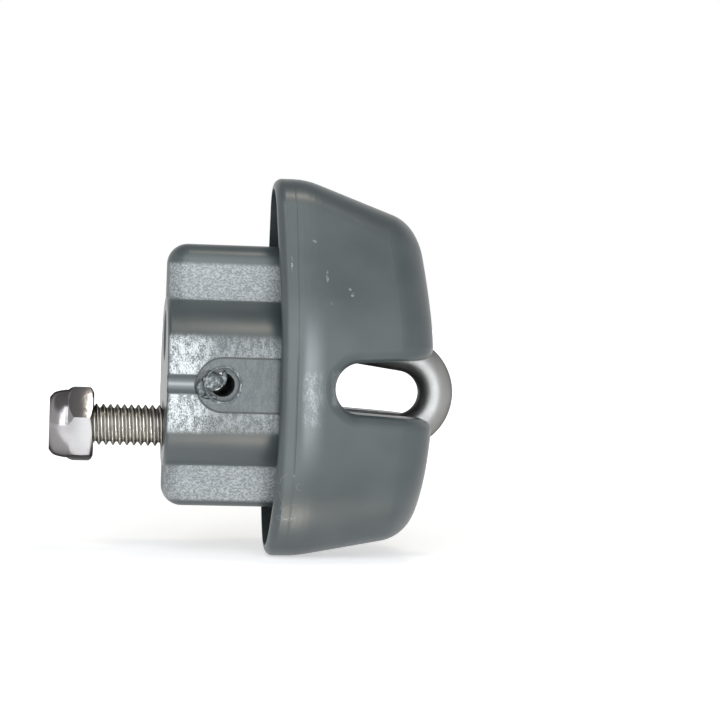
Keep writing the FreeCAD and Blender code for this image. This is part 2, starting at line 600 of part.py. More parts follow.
def is_round(face, axis, radius=None):
    """True for a cylindrical face along the named axis, and of the given radius if one is given."""
    surface = face.Surface
    if not isinstance(surface, Part.Cylinder):
        return False
    along = abs(getattr(surface.Axis, axis)) > 1 - NEAR
    return along and (radius is None or abs(surface.Radius - radius) < NEAR)


def is_flat(face, axis, place):
    """True for a plane square to the named axis, at the given place along it."""
    if not isinstance(face.Surface, Part.Plane):
        return False
    along = abs(getattr(face.Surface.Axis, axis)) > 1 - NEAR
    return along and abs(getattr(face.CenterOfMass, axis) - place) < NEAR


def is_ring(edge, axis, place, radius):
    """True for a circular edge of the given radius, square to the named axis at the given place."""
    curve = edge.Curve
    if not isinstance(curve, Part.Circle) or abs(curve.Radius - radius) > NEAR:
        return False
    return abs(getattr(curve.Axis, axis)) > 1 - NEAR and abs(getattr(curve.Center, axis) - place) < NEAR


def blend_outline(body, step):
    """The outline at one step of the curve that leads from the band into the tapered walls."""
    part = step / BLEND_STEPS
    place = BAND_END + " + sizes.blend_length * %g" % part
    run = WALL_END + " - " + BAND_END + " - sizes.blend_length / 2"
    share = " * sizes.blend_length * %g / (%s))" % (part**2 / 2, run)
    size = {key: "(%s + (%s - %s)%s" % (RIM[key], FRONT[key], RIM[key], share) for key in RIM}
    return lens_outline(body, "wall_step_%d" % step, place, size)


def make_head(body):
    """The head: a plain band at the rim, tapered walls, a domed front with a soft edge, and the skirt."""
    rim = lens_outline(body, "rim_outline", RIM_START, RIM)
    feature(body, "Pad", "rim_band", rim, Length="sizes.band_length + sizes.rim_margin")
    base = lens_outline(body, "wall_base", BAND_END, RIM)
    sections = [blend_outline(body, step) for step in range(1, BLEND_STEPS + 1)]
    sections.append(lens_outline(body, "wall_front", WALL_END, FRONT))
    feature(body, "AdditiveLoft", "walls", base, Sections=sections, Ruled=True)
    dome = feature(
        body, "Pocket", "domed_front", front_profile(body), Type="ThroughAll", SideType="Symmetric"
    )
    domed = faces_where(dome.Shape, on_dome)
    edges = border_edges(dome.Shape, domed)
    dress(body, "Fillet", "front_rounding", dome, edges, Radius="sizes.front_round")
    bow = feature(body, "Pocket", "bowed_rim", rim_profile(body), Type="ThroughAll", SideType="Symmetric")
    back = faces_where(bow.Shape, lambda face: is_round(face, "y", VALUE["rim_bow_radius"]))
    edges = border_edges(bow.Shape, back)
    dress(body, "Fillet", "rim_rounding", bow, edges, Radius="sizes.rim_edge_round")
    inside = lens_outline(body, "skirt_inside", RIM_START, RIM, "sizes.skirt_wall")
    depth = "sizes.skirt_depth + sizes.rim_margin"
    feature(body, "Pocket", "skirt_hollow", inside, Length=depth, Reversed=True)


def on_dome(face):
    """True for the front's arcs, and for the straight run-out of its shoulders."""
    if is_round(face, "y"):
        return True
    if not isinstance(face.Surface, Part.Plane):
        return False
    normal = face.Surface.Axis
    return abs(normal.y) < NEAR and NEAR < abs(normal.x) < 1 - NEAR


def make_plug(body):
    """The plug: a blade with a lobe at each end, rounded at the back, and the barrel round its middle."""
    outline = blade_outline(body)
    blade = feature(body, "Pad", "blade", outline, Length="sizes.plug_length")
    back = faces_where(blade.Shape, lambda face: is_flat(face, "x", -VALUE["plug_length"]))
    edges = border_edges(blade.Shape, back)
    dress(body, "Fillet", "lobe_rounding", blade, edges, Radius="sizes.lobe_round")
    axis = (plane_of(body, "X_Axis"), [""])
    feature(body, "Revolution", "barrel", barrel_profile(body), ReferenceAxis=axis, Angle=360.0)


def ledge_outline(body):
    """The rectangle of the flat ledge beside the slot, where the slot breaks the groove's bottom."""
    half = evaluate(LEDGE_HALF)
    rise = VALUE["ledge_height"] / 2
    sketch = new_sketch(body, "ledge_outline", "YZ_Plane", "sizes.head_length + " + TRIM)
    corners = [(-half, -rise), (half, -rise), (half, rise), (-half, rise)]
    sides = [line(sketch, corners[i], corners[(i + 1) % 4]) for i in range(4)]
    for i in range(4):
        sketch.addConstraint(Sketcher.Constraint("Coincident", sides[i], 2, sides[(i + 1) % 4], 1))
        sketch.addConstraint(Sketcher.Constraint("Vertical" if i % 2 else "Horizontal", sides[i]))
    sketch.addConstraint(Sketcher.Constraint("Symmetric", sides[0], 1, sides[2], 1, -1, 1))
    dimension(sketch, "DistanceX", (sides[0], 1, sides[0], 2), 2 * half, "width", "2 * " + LEDGE_HALF)
    dimension(sketch, "DistanceY", (sides[1], 1, sides[1], 2), 2 * rise, "height", "sizes.ledge_height")
    return sketch


def cut_groove_and_slot(body):
    """The cross groove for the wire and the slot for the hook, with soft lips."""
    feature(body, "Pocket", "groove", groove_profile(body), Type="ThroughAll", SideType="Symmetric")
    depth = "sizes.head_length + " + TRIM + " + sizes.slot_floor"
    feature(body, "Pocket", "slot", slot_outline(body), Length=depth)
    depth = "sizes.head_length + " + TRIM + " - sizes.groove_floor + sizes.ledge_depth"
    ledge = feature(body, "Pocket", "ledge", ledge_outline(body), Length=depth)
    sides = faces_where(ledge.Shape, in_groove)
    beyond = evaluate(LEDGE_HALF) + NEAR
    edges = border_edges(ledge.Shape, sides, lambda point: abs(point.y) > beyond)
    lips = dress(body, "Fillet", "groove_lips", ledge, edges, Radius="sizes.groove_lip_round")
    sides = faces_where(lips.Shape, in_slot)
    beyond = VALUE["ledge_height"] / 2 + NEAR
    ahead = VALUE["groove_floor"] + 2 * VALUE["groove_radius"]
    edges = border_edges(lips.Shape, sides, lambda point: abs(point.z) > beyond and point.x > ahead)
    dress(body, "Fillet", "slot_lips", lips, edges, Radius="sizes.slot_lip_round")


def in_slot(face):
    """True for the slot's round ends and its two straight sides."""
    radius = evaluate(SLOT_RADIUS)
    return is_round(face, "x", radius) or is_flat(face, "y", radius) or is_flat(face, "y", -radius)


def in_groove(face):
    """True for the groove's half-round bottom and its two flared walls."""
    if is_round(face, "y", VALUE["groove_radius"]):
        return True
    if not isinstance(face.Surface, Part.Plane):
        return False
    normal = face.Surface.Axis
    lean = math.sin(math.radians(VALUE["groove_flare"]))
    return abs(normal.y) < NEAR and abs(abs(normal.x) - lean) < NEAR


def cut_bores(body):
    """Two bores for the bolt from the back of the plug to the slot, with chamfered mouths."""
    back = "-sizes.plug_length"
    outline = new_sketch(body, "bores_outline", "YZ_Plane", back)
    radius = evaluate(BORE_RADIUS)
    for name, sign in (("upper", ""), ("lower", "-")):
        up = sign + "sizes.bore_spacing / 2"
        circle_at(outline, name, 0.0, evaluate(up), radius, (None, up, BORE_RADIUS))
    depth = "sizes.plug_length - sizes.slot_floor + " + TRIM
    bores = feature(body, "Pocket", "bores", outline, Length=depth, Reversed=True)
    mouths = edges_where(bores.Shape, lambda edge: is_ring(edge, "x", -VALUE["plug_length"], radius))
    dress(body, "Chamfer", "bore_mouths", bores, mouths, Size="sizes.bore_mouth")


def cut_screw_seats(body):
    """On both sides of the barrel: a flat, a lead-in, the worn seat of the fixing screw, and its bore."""
    height = "sizes.barrel_radius - sizes.flat_height + " + TRIM
    flat = feature(body, "Pocket", "side_flat", side_flat_outline(body), Length=height, Reversed=True)
    side = "-sizes.barrel_radius"
    lead_outline = disc(body, "lead_outline", "YZ_Plane", "-sizes.plug_length", side, None, LEAD_RADIUS)
    run = "sizes.plug_length - sizes.screw_setback - sizes.torn_offset"
    lead = feature(body, "Pocket", "lead_in", lead_outline, Length=run, Reversed=True)
    behind = "-sizes.screw_setback"
    at_flat = "sizes.flat_height"
    seat_outline = disc(body, "seat_outline", "XZ_Plane", at_flat, behind, None, SEAT_RADIUS)
    seat = feature(body, "Pocket", "screw_seat", seat_outline, Length="sizes.screw_seat_depth")
    further = behind + " - sizes.torn_offset"
    torn_outline = disc(body, "torn_outline", "XZ_Plane", at_flat, further, None, TORN_RADIUS)
    torn = feature(body, "Pocket", "torn_seat", torn_outline, Length="sizes.screw_seat_depth")
    mirror = body.newObject("PartDesign::Mirrored", "other_side")
    mirror.Originals = [flat, lead, seat, torn]
    mirror.MirrorPlane = (plane_of(body, "XZ_Plane"), [""])
    body.Tip = mirror
    doc.recompute()
    bore_outline = disc(body, "screw_outline", "XZ_Plane", None, behind, None, SCREW_RADIUS)
    feature(body, "Pocket", "screw_bore", bore_outline, Type="ThroughAll", SideType="Symmetric")


def make_fitting():
    """The moulded fitting: the head, the plug behind it, and what is cut into both."""
    body = new_body("fitting_body")
    make_head(body)
    make_plug(body)
    cut_groove_and_slot(body)
    cut_bores(body)
    cut_screw_seats(body)
    return body


def hook_spine(body):
    """The middle line of the rod: the shank, the bend and the short leg that splays outwards."""
    radius = VALUE["bend_radius"]
    splay = math.radians(VALUE["leg_splay"])
    top = (radius * math.sin(splay), radius * math.cos(splay))
    leg = VALUE["leg_length"]
    end = (top[0] - leg * math.cos(splay), top[1] + leg * math.sin(splay))
    sketch = new_sketch(body, "hook_spine", "XZ_Plane")
    shank = line(sketch, (-VALUE["shank_length"], -radius), (0, -radius))
    bend = arc(sketch, (0, 0), radius, -math.pi / 2, math.pi / 2 - splay)
    short = line(sketch, top, end)
    sketch.addConstraint(Sketcher.Constraint("Tangent", shank, 2, bend, 1))
    sketch.addConstraint(Sketcher.Constraint("Tangent", bend, 2, short, 1))
    sketch.addConstraint(Sketcher.Constraint("Coincident", bend, 3, -1, 1))
    sketch.addConstraint(Sketcher.Constraint("Horizontal", shank))
    length = VALUE["shank_length"]
    dimension(sketch, "Radius", (bend,), radius, "bend", "sizes.bend_radius")
    dimension(sketch, "DistanceX", (shank, 1, -1, 1), length, "shank", "sizes.shank_length")
    dimension(sketch, "Distance", (short,), leg, "leg", "sizes.leg_length")
    dimension(sketch, "Angle", (short,), math.pi - splay, "splay", "180 - sizes.leg_splay")
    return sketch


def make_hook():
    """The hook bolt: a bent rod with a thread, drawn as a plain cylinder over its crests, on its shank."""
    body = new_body("hook_bolt")
    start = "-sizes.shank_length"
    down = "-sizes.bend_radius"
    spine = hook_spine(body)
    section = disc(body, "rod_section", "YZ_Plane", start, None, down, "sizes.rod_diameter / 2")
    rod = feature(body, "AdditivePipe", "rod", section, Spine=(spine, [""]))
    ends = edges_where(rod.Shape, is_leg_end)
    dress(body, "Chamfer", "leg_end", rod, ends, Size="sizes.leg_chamfer")
    crest = disc(body, "thread_section", "YZ_Plane", start, None, down, "sizes.thread_diameter / 2")
    thread = feature(body, "Pad", "thread", crest, Length="sizes.thread_length")
    radius = VALUE["thread_diameter"] / 2
    free = -VALUE["shank_length"]
    ends = edges_where(thread.Shape, lambda edge: is_ring(edge, "x", free, radius))
    lead = dress(body, "Chamfer", "thread_lead", thread, ends, Size="sizes.thread_chamfer")
    inner = free + VALUE["thread_length"]
    ends = edges_where(lead.Shape, lambda edge: is_ring(edge, "x", inner, radius))
    dress(body, "Chamfer", "thread_end", lead, ends, Size="sizes.thread_runout")
    place(body, "sizes.eye_reach", BEND_HEIGHT)
    return body


def is_leg_end(edge):
    """True for the circular edge on the short leg's free end."""
    return isinstance(edge.Curve, Part.Circle) and edge.CenterOfMass.x < 0 and edge.CenterOfMass.z > 0


def place(body, along, up, turn=None):
    """Sets a body on the plug's middle plane, at two expressions along and above the axis."""
    body.setExpression("Placement.Base.x", along)
    body.setExpression("Placement.Base.z", up)
    if turn:
        body.Placement.Rotation = FreeCAD.Rotation(FreeCAD.Vector(1, 0, 0), evaluate(turn))
        body.setExpression("Placement.Rotation.Angle", turn)
    doc.recompute()


def hexagon(body):
    """The nut's hexagon about the bolt's axis, with two corners on the body's Y axis."""
    radius = evaluate(HEX_RADIUS)
    sketch = new_sketch(body, "hexagon", "YZ_Plane", "-sizes.nut_hexagon")
    corners = []
    for number in range(6):
        turn = math.radians(60 * number)
        corners.append((radius * math.cos(turn), radius * math.sin(turn)))
    sides = [line(sketch, corners[i], corners[(i + 1) % 6]) for i in range(6)]
    centre = FreeCAD.Vector(0, 0, 0)
    ring = sketch.addGeometry(Part.Circle(centre, FreeCAD.Vector(0, 0, 1), radius), True)
    for i in range(6):
        sketch.addConstraint(Sketcher.Constraint("Coincident", sides[i], 2, sides[(i + 1) % 6], 1))
        sketch.addConstraint(Sketcher.Constraint("PointOnObject", sides[i], 1, ring))
    for side in sides[1:]:
        sketch.addConstraint(Sketcher.Constraint("Equal", sides[0], side))
    sketch.addConstraint(Sketcher.Constraint("Coincident", ring, 3, -1, 1))
    sketch.addConstraint(Sketcher.Constraint("PointOnObject", sides[0], 1, -1))
    dimension(sketch, "Radius", (ring,), radius, "corners", HEX_RADIUS)
    return sketch


def corner_chamfer(body, name, face, sign):
    """A triangle that, turned about the axis, takes the corners off one face of the hexagon."""
    low = VALUE["nut_chamfer_circle"] / 2
    high = evaluate(CHAMFER_REACH)
    lean = math.radians(VALUE["nut_chamfer_angle"])
    at = evaluate(face)
    back = at + sign * (high - low) * math.tan(lean)
    sketch = new_sketch(body, name + "_outline", "XZ_Plane")
    wall = line(sketch, (at, low), (at, high))
    top = line(sketch, (at, high), (back, high))
    slope = line(sketch, (back, high), (at, low))
    for joint in [(wall, 2, top, 1), (top, 2, slope, 1), (slope, 2, wall, 1)]:
        sketch.addConstraint(Sketcher.Constraint("Coincident", *joint))
    sketch.addConstraint(Sketcher.Constraint("Vertical", wall))
    sketch.addConstraint(Sketcher.Constraint("Horizontal", top))
    if at:
        dimension(sketch, "DistanceX", (wall, 1, -1, 1), -at, "face", "-(" + face + ")")
    else:
        sketch.addConstraint(Sketcher.Constraint("PointOnObject", wall, 1, -2))
    dimension(sketch, "DistanceY", (-1, 1, wall, 1), low, "low", "sizes.nut_chamfer_circle / 2")
    dimension(sketch, "DistanceY", (-1, 1, wall, 2), high, "high", CHAMFER_REACH)
    run = "(" + CHAMFER_REACH + " - sizes.nut_chamfer_circle / 2) * tan(sizes.nut_chamfer_angle)"
    ends = (wall, 2, top, 2) if sign > 0 else (top, 2, wall, 2)
    dimension(sketch, "DistanceX", ends, abs(back - at), "run", run)
    axis = (plane_of(body, "X_Axis"), [""])
    return feature(body, "Groove", name, sketch, ReferenceAxis=axis, Angle=360.0)


def make_nut():
    """The lock nut: a hexagon with its corners taken off, and a collar rolled over the insert's seat."""
    body = new_body("lock_nut")
    feature(body, "Pad", "hexagon_block", hexagon(body), Length="sizes.nut_hexagon")
    corner_chamfer(body, "front_corners", "0", -1)
    corner_chamfer(body, "back_corners", "-sizes.nut_hexagon", 1)
    back = "-sizes.nut_height"
    ring = disc(body, "collar_outline", "YZ_Plane", back, None, None, "sizes.collar_diameter / 2")
    collar = feature(body, "Pad", "collar", ring, Length="sizes.nut_height - sizes.nut_hexagon")
    radius = VALUE["collar_diameter"] / 2
    ends = edges_where(collar.Shape, lambda edge: is_ring(edge, "x", -VALUE["nut_height"], radius))
    dress(body, "Fillet", "collar_rounding", collar, ends, Radius="sizes.collar_round")
    bore = disc(body, "bore_outline", "YZ_Plane", back, None, None, THREAD_HOLE)
    feature(body, "Pocket", "bore", bore, Type="ThroughAll", SideType="Symmetric")
    mouth = disc(body, "mouth_outline", "YZ_Plane", back, None, None, "sizes.collar_mouth / 2")
    feature(body, "Pocket", "mouth", mouth, Length="sizes.collar_lip", Reversed=True)
    inside = "sizes.collar_lip - sizes.nut_height"
    seat = disc(body, "seat_ring", "YZ_Plane", inside, None, None, "sizes.insert_seat / 2")
    depth = "sizes.insert_height + 2 * sizes.insert_clearance"
    feature(body, "Pocket", "insert_seat", seat, Length=depth, Reversed=True)
    place(body, NUT_PLACE, "-sizes.bore_spacing / 2", "-sizes.nut_turn")
    return body


def make_insert():
    """The ring held in the collar, that grips the thread."""
    body = new_body("nylon_insert")
    start = "sizes.collar_lip + sizes.insert_clearance - sizes.nut_height"
    outside = "sizes.insert_seat / 2 - sizes.insert_clearance"
    section = new_sketch(body, "ring_outline", "YZ_Plane", start)
    for name, radius in (("outside", outside), ("inside", THREAD_HOLE)):
        ring = FreeCAD.Vector(0, 0, 0)
        circle = section.addGeometry(
            Part.Circle(ring, FreeCAD.Vector(0, 0, 1), evaluate(radius)), False
        )
        section.addConstraint(Sketcher.Constraint("Coincident", circle, 3, -1, 1))
        dimension(section, "Radius", (circle,), evaluate(radius), name, radius)
    feature(body, "Pad", "ring", section, Length="sizes.insert_height")
    place(body, NUT_PLACE, "-sizes.bore_spacing / 2")
    return body


def check_document(bodies):
    """Stops if any object of the document failed, or a sub-part isn't one sound solid."""
    for item in doc.Objects:
        if "Invalid" in item.State or "Error" in item.State:
            raise RuntimeError("%s failed: %s" % (item.Name, item.State))
    for body in bodies:
        shape = body.Shape
        if shape.isNull() or not shape.isValid() or len(shape.Solids) != 1:
            raise RuntimeError("%s isn't one valid solid" % body.Label)


def main():
    fill_sheet()
    bodies = [make_fitting(), make_hook(), make_nut(), make_insert()]
    doc.recompute()
    check_document(bodies)
    os.makedirs("parts", exist_ok=True)
    for body in bodies:
        body.Shape.exportStep(os.path.join("parts", body.Label + ".step"))
        print("%-14s %9.1f mm3" % (body.Label, body.Shape.Volume))


main()
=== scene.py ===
import math

import bpy
from mathutils import Matrix, Vector


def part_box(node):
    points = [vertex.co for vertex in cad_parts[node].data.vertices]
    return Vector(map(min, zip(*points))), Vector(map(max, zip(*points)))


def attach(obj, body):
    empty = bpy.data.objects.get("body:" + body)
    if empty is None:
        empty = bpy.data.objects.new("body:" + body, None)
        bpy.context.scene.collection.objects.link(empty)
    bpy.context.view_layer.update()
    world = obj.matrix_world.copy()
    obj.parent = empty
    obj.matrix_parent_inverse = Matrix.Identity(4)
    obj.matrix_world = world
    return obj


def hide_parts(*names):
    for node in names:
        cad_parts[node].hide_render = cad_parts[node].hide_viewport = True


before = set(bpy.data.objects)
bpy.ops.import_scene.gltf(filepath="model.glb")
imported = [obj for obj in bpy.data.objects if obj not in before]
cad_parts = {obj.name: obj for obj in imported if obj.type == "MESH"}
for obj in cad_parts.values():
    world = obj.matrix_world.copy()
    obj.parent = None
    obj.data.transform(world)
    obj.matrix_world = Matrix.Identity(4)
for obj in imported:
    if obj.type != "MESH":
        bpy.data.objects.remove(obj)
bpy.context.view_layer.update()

# The looks of a spreader end fitting: a moulded grey head and plug, a polished hook bolt with a rolled
# thread, and a bright lock nut. Lengths are in metres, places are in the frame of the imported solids.

bl_info = {
    "name": "Spreader end fitting",
    "version": (1, 0, 0),
    "blender": (4, 5, 0),
    "location": "View3D > Sidebar > Fitting",
    "description": "Small pieces and finishes of a moulded spreader end with a hook bolt",
    "category": "Object",
}

MM = 0.001

# how fine the round shapes are, and how near two points are one
ROD_SIDES = 64
BEND_STEPS = 72
TURNED_STEPS = 96
MERGED = 1e-6

# the bolt, as its solid is built
SHANK_HEIGHT = -6.5 * MM
BEND_CENTRE = Vector((15.1 * MM, 0, -0.8 * MM))
BEND_RADIUS = 5.7 * MM
LEG_SPLAY = math.radians(8)
LEG_LENGTH = 11.5 * MM
LEG_ROUNDING = 0.5 * MM
THREAD_FREE_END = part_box("hook_bolt")[0].x
THREAD_LENGTH = 28.0 * MM
THREAD_CHAMFER = 0.7 * MM

# one pitch of the thread: shares of the pitch along, and of the thread's depth out
FLANK = (
    (0.0, 0.0), (0.09, 0.0), (0.2, 0.25), (0.43, 0.94), (0.47, 1.0),
    (0.57, 1.0), (0.61, 0.94), (0.84, 0.25), (0.95, 0.0), (1.0, 0.0),
)

# the plug's back face, and the line where the band round the rim ends
PLUG_BACK = -19.0 * MM
BAND_LINE = -0.97 * MM

# the plug's side flat, and the worn seat of the fixing screw in it
SCREW_PLACE = -11.0 * MM
FLAT_RADIUS = 3.8 * MM
FLAT_HEIGHT = 11.65 * MM
SEAT_RADIUS = 2.5 * MM
SEAT_BEAD = 0.17 * MM
BORE_RADIUS = 1.7 * MM

# torn plastic at the near seat, in millimetres: name, place, half sizes, how deeply it is crumpled
TORN = (
    ("near_burr", (-12.45, -11.0, 0.45), (1.4, 1.15, 1.35), 0.55),
    ("near_curl", (-10.85, -10.9, 0.95), (0.42, 0.4, 1.0), 0.3),
    ("near_tear", (-14.2, -11.1, -0.75), (0.65, 0.62, 1.5), 0.4),
    ("near_shred", (-12.9, -10.9, -1.75), (1.1, 0.5, 0.35), 0.3),
)

# the lock nut, from its bearing face back, and the pocket for its insert
NUT_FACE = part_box("lock_nut")[1].x
NUT_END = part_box("lock_nut")[0].x
NUT_HEXAGON = 3.8 * MM
NUT_BACK = NUT_FACE - NUT_HEXAGON
NUT_CORNERS = 5.66 * MM
NUT_TURN = math.radians(-12)
NUT_BORE = 3.0 * MM
NUT_LEAD = 0.35 * MM
NUT_EDGE = 0.12 * MM
POCKET_MOUTH = 3.5 * MM
POCKET_RADIUS = 3.86 * MM
POCKET_START = NUT_END + 0.45 * MM
POCKET_FLOOR = NUT_END + 2.21 * MM

# the crown of the nut's collar, in millimetres: place behind the hexagon, and radius
CROWN = (
    (-0.3, 4.86), (0.15, 4.86), (0.5, 4.81), (1.0, 4.72),
    (1.5, 4.59), (1.8, 4.46), (2.05, 4.28), (2.25, 4.04),
)

# closed profiles of the hexagon's blank and of the collar: places along the axis, and radii
BLANK_PROFILE = (
    (NUT_FACE, NUT_BORE + NUT_LEAD), (NUT_FACE, 4.55 * MM), (NUT_FACE - 0.6 * MM, NUT_CORNERS),
    (NUT_BACK + 0.95 * MM, NUT_CORNERS), (NUT_BACK, 4.72 * MM), (NUT_BACK, NUT_BORE),
    (NUT_FACE - NUT_LEAD, NUT_BORE),
)
COLLAR_PROFILE = (
    (NUT_BACK + 0.3 * MM, NUT_BORE),
    *((NUT_BACK - behind * MM, radius * MM) for behind, radius in CROWN),
    (NUT_END, 3.75 * MM), (NUT_END + 0.05 * MM, POCKET_MOUTH), (POCKET_START, POCKET_MOUTH),
    (POCKET_START, POCKET_RADIUS), (POCKET_FLOOR, POCKET_RADIUS), (POCKET_FLOOR, NUT_BORE),
)

# tall lamps above the floor and under it, in metres: height of the middle, and length
ABOVE = (0.33, 0.72)
UNDER = (-0.37, 0.66)
SIDE_LAMP_PLACE = (0.05, -0.07)
SIDE_LAMP_HEIGHT = 0.35
SIDE_LAMP_SIZE = (0.06, 0.06)

# the floor, its glow from the object outwards, and how far up reflections turn from white to the room
FLOOR_SIZE = 8
FLOOR_GLOW = (0.05, 0.35, 0.5, 1.0)
OVERHEAD = (0.5, 0.85)
WHITE_RAYS = ("Is Camera Ray", "Is Glossy Ray", "Is Transmission Ray")
SENSOR_WIDTH = 36


def length(name, words, default):
    return bpy.props.FloatProperty(name=name, description=words, default=default, unit="LENGTH", precision=5)


def colour(name, words, default):
    return bpy.props.FloatVectorProperty(
        name=name, description=words, default=default, size=3, subtype="COLOR", min=0, max=1
    )


def factor(name, words, default, top=1.0):
    return bpy.props.FloatProperty(name=name, description=words, default=default, min=0, max=top)


def power(name, words, default):
    return factor(name, words + ", in watts", default, 50)


def angle(name, words, degrees):
    return bpy.props.FloatProperty(
        name=name, description=words, default=math.radians(degrees), subtype="ANGLE"
    )


class FittingPlastic(bpy.types.PropertyGroup):
    """The moulded plastic."""

    base: colour("Colour", "Colour of the moulding", (0.052, 0.064, 0.067))
    # pale is for real scuffs and torn plastic, and also for the painted glints on the grain and the painted
    # highlights
    pale: colour("Worn", "Colour of eroded, scuffed and torn places", (0.60, 0.63, 0.65))
    roughness: factor("Roughness", "Roughness between the grains", 0.34)
    grain: length("Grain", "Size of the eroded mould's grain", 0.25 * MM)
    grain_depth: length("Grain depth", "Height of the grain", 0.030 * MM)
    pebble: length("Pebble", "Size of the soft unevenness of the front", 0.6 * MM)


class FittingSteel(bpy.types.PropertyGroup):
    """The rod, the thread, and the nut with its insert."""

    rod_radius: length("Rod radius", "Radius of the plain rod", 2.55 * MM)
    crest_radius: length("Crest radius", "Radius over the thread's crests", 2.95 * MM)
    root_radius: length("Root radius", "Radius at the thread's roots", 2.42 * MM)
    pitch: length("Pitch", "Pitch of the thread", 1.0 * MM)
    bright: colour("Polished", "Colour of the polished rod", (0.28, 0.28, 0.275))
    rolled: colour("Rolled", "Colour of the rolled thread", (0.40, 0.385, 0.355))
    nut: colour("Nut", "Colour of the nut", (0.27, 0.26, 0.265))
    nylon: colour("Insert", "Colour of the insert", (0.80, 0.80, 0.74))


class FittingStage(bpy.types.PropertyGroup):
    """The camera, the lamps and the room."""

    camera_place: bpy.props.FloatVectorProperty(
        name="Camera place", description="Where the camera stands", size=3, subtype="TRANSLATION",
        default=(-32.3 * MM, -315.8 * MM, 11.1 * MM),
    )
    yaw: angle("Yaw", "Camera turned to the right", 7.56)
    pitch: angle("Pitch", "Camera tipped up", -1.32)
    roll: angle("Roll", "Camera turned about its view", 1.79)
    lens: bpy.props.FloatProperty(
        name="Lens", description="Focal length", default=109.4, subtype="DISTANCE_CAMERA"
    )
    front_lamp: power("Front lamp", "Power of the tall lamp near the camera", 1.4)
    table_share: factor("Lower lamps", "Power of the tall lamps under the floor, as a share", 0.75)
    left_lamp: power("Left lamp", "Power of the narrow tall lamp on the left", 1.0)
    side_lamp: power("Side lamps", "Power of the small lamps above and below", 0.22)
    room: factor("Room", "Strength of the room's own light", 0.32)
    cool: colour("Cool light", "Colour of the tall lamps", (0.93, 0.97, 1.0))
    warm: colour("Warm light", "Colour of the small lamps", (1.0, 0.93, 0.80))


# --- small helpers -------------------------------------------------------------------------------------


def deselect():
    if bpy.context.object and bpy.context.object.mode != "OBJECT":
        bpy.ops.object.mode_set(mode="OBJECT")
    bpy.ops.object.select_all(action="DESELECT")


def make_active(obj):
    deselect()
    obj.select_set(True)
    bpy.context.view_layer.objects.active = obj


def edit_all(obj):
    """Opens the object's mesh in edit mode with all of it selected."""
    make_active(obj)
    bpy.ops.object.mode_set(mode="EDIT")
    bpy.ops.mesh.select_all(action="SELECT")


def leave_edit():
    bpy.ops.object.mode_set(mode="OBJECT")


def named(name):
    """Names the primitive that was just added."""
    made = bpy.context.object
    made.name = name
    return made


def settle(obj):
    """Puts the object's place, turn and scale into its mesh, so that it sits at the origin."""
    make_active(obj)
    bpy.ops.object.transform_apply(location=True, rotation=True, scale=True)


def tidy_mesh(obj, distance=MERGED):
    """Merges doubles and turns all faces outwards."""
    edit_all(obj)
    bpy.ops.mesh.remove_doubles(threshold=distance)
    bpy.ops.mesh.normals_make_consistent(inside=False)
    leave_edit()


def draw_line(name, places):
    """A line of edges through places (along X, up Z), extruded point by point; left in edit mode."""
    deselect()
    bpy.ops.mesh.primitive_plane_add(size=1 * MM)
    drawn = named(name)
    edit_all(drawn)
    bpy.ops.mesh.merge(type="CENTER")
    bpy.ops.transform.translate(value=(places[0][0], 0, places[0][1]))
    for (along, up), (last_along, last_up) in zip(places[1:], places):
        bpy.ops.mesh.extrude_region_move(
            TRANSFORM_OT_translate={"value": (along - last_along, 0, up - last_up)}
        )
    return drawn


def apply_modifier(obj, kind, **settings):
    make_active(obj)
    modifier = obj.modifiers.new(kind.lower(), kind)
    for key, value in settings.items():
        setattr(modifier, key, value)
    bpy.ops.object.modifier_apply(modifier=modifier.name)


def combine(obj, operation, tool):
    """Joins or cuts the object with a tool, which is used up."""
    apply_modifier(obj, "BOOLEAN", operation=operation, object=tool, solver="EXACT")
    bpy.data.objects.remove(tool)


def smooth(obj, degrees):
    make_active(obj)
    bpy.ops.object.shade_smooth_by_angle(angle=math.radians(degrees))


def dress(obj, material):
    obj.data.materials.clear()
    obj.data.materials.append(material)


def shade(tint, share):
    return tuple(share * value for value in tint)


# --- nodes --------------------------------------------------------------------------------------------


def new_material(name):
    """A new material with its node tree, its shader and its Object coordinates."""
    material = bpy.data.materials.new(name)
    material.use_nodes = True
    tree = material.node_tree
    shader = tree.nodes["Principled BSDF"]
    place = tree.nodes.new("ShaderNodeTexCoord").outputs["Object"]
    return material, tree, shader, place


def math_node(tree, operation, *values):
    """A Math node; each value is a number or a socket."""
    made = tree.nodes.new("ShaderNodeMath")
    made.operation = operation
    for socket, value in zip(made.inputs, values):
        if isinstance(value, (int, float)):
            socket.default_value = value
        else:
            tree.links.new(value, socket)
    return made.outputs[0]


def ramp(tree, value, low, high, start=0.0, end=1.0):
    """Maps low..high smoothly to start..end."""
    made = tree.nodes.new("ShaderNodeMapRange")
    made.interpolation_type = "SMOOTHSTEP"
    tree.links.new(value, made.inputs["Value"])
    for name, number in (("From Min", low), ("From Max", high), ("To Min", start), ("To Max", end)):
        made.inputs[name].default_value = number
    return made.outputs[0]


def fade(tree, value, low, high, start=1.0):
    """Falls smoothly from start to nothing."""
    return ramp(tree, value, low, high, start, 0.0)


def noise(tree, place, size, detail=2.0, roughness=0.5, stretch=None):
    """Noise whose features are about as large as size, in metres."""
    if stretch:
        mapping = tree.nodes.new("ShaderNodeMapping")
        mapping.inputs["Scale"].default_value = stretch
        tree.links.new(place, mapping.inputs["Vector"])
        place = mapping.outputs[0]
    made = tree.nodes.new("ShaderNodeTexNoise")
    made.inputs["Scale"].default_value = 1 / size
    made.inputs["Detail"].default_value = detail
    made.inputs["Roughness"].default_value = roughness
    tree.links.new(place, made.inputs["Vector"])
    return made.outputs["Fac"]


def pattern(tree, place, grain, reading):
    """Noise read through a ramp."""
    return ramp(tree, noise(tree, place, *grain), *reading)


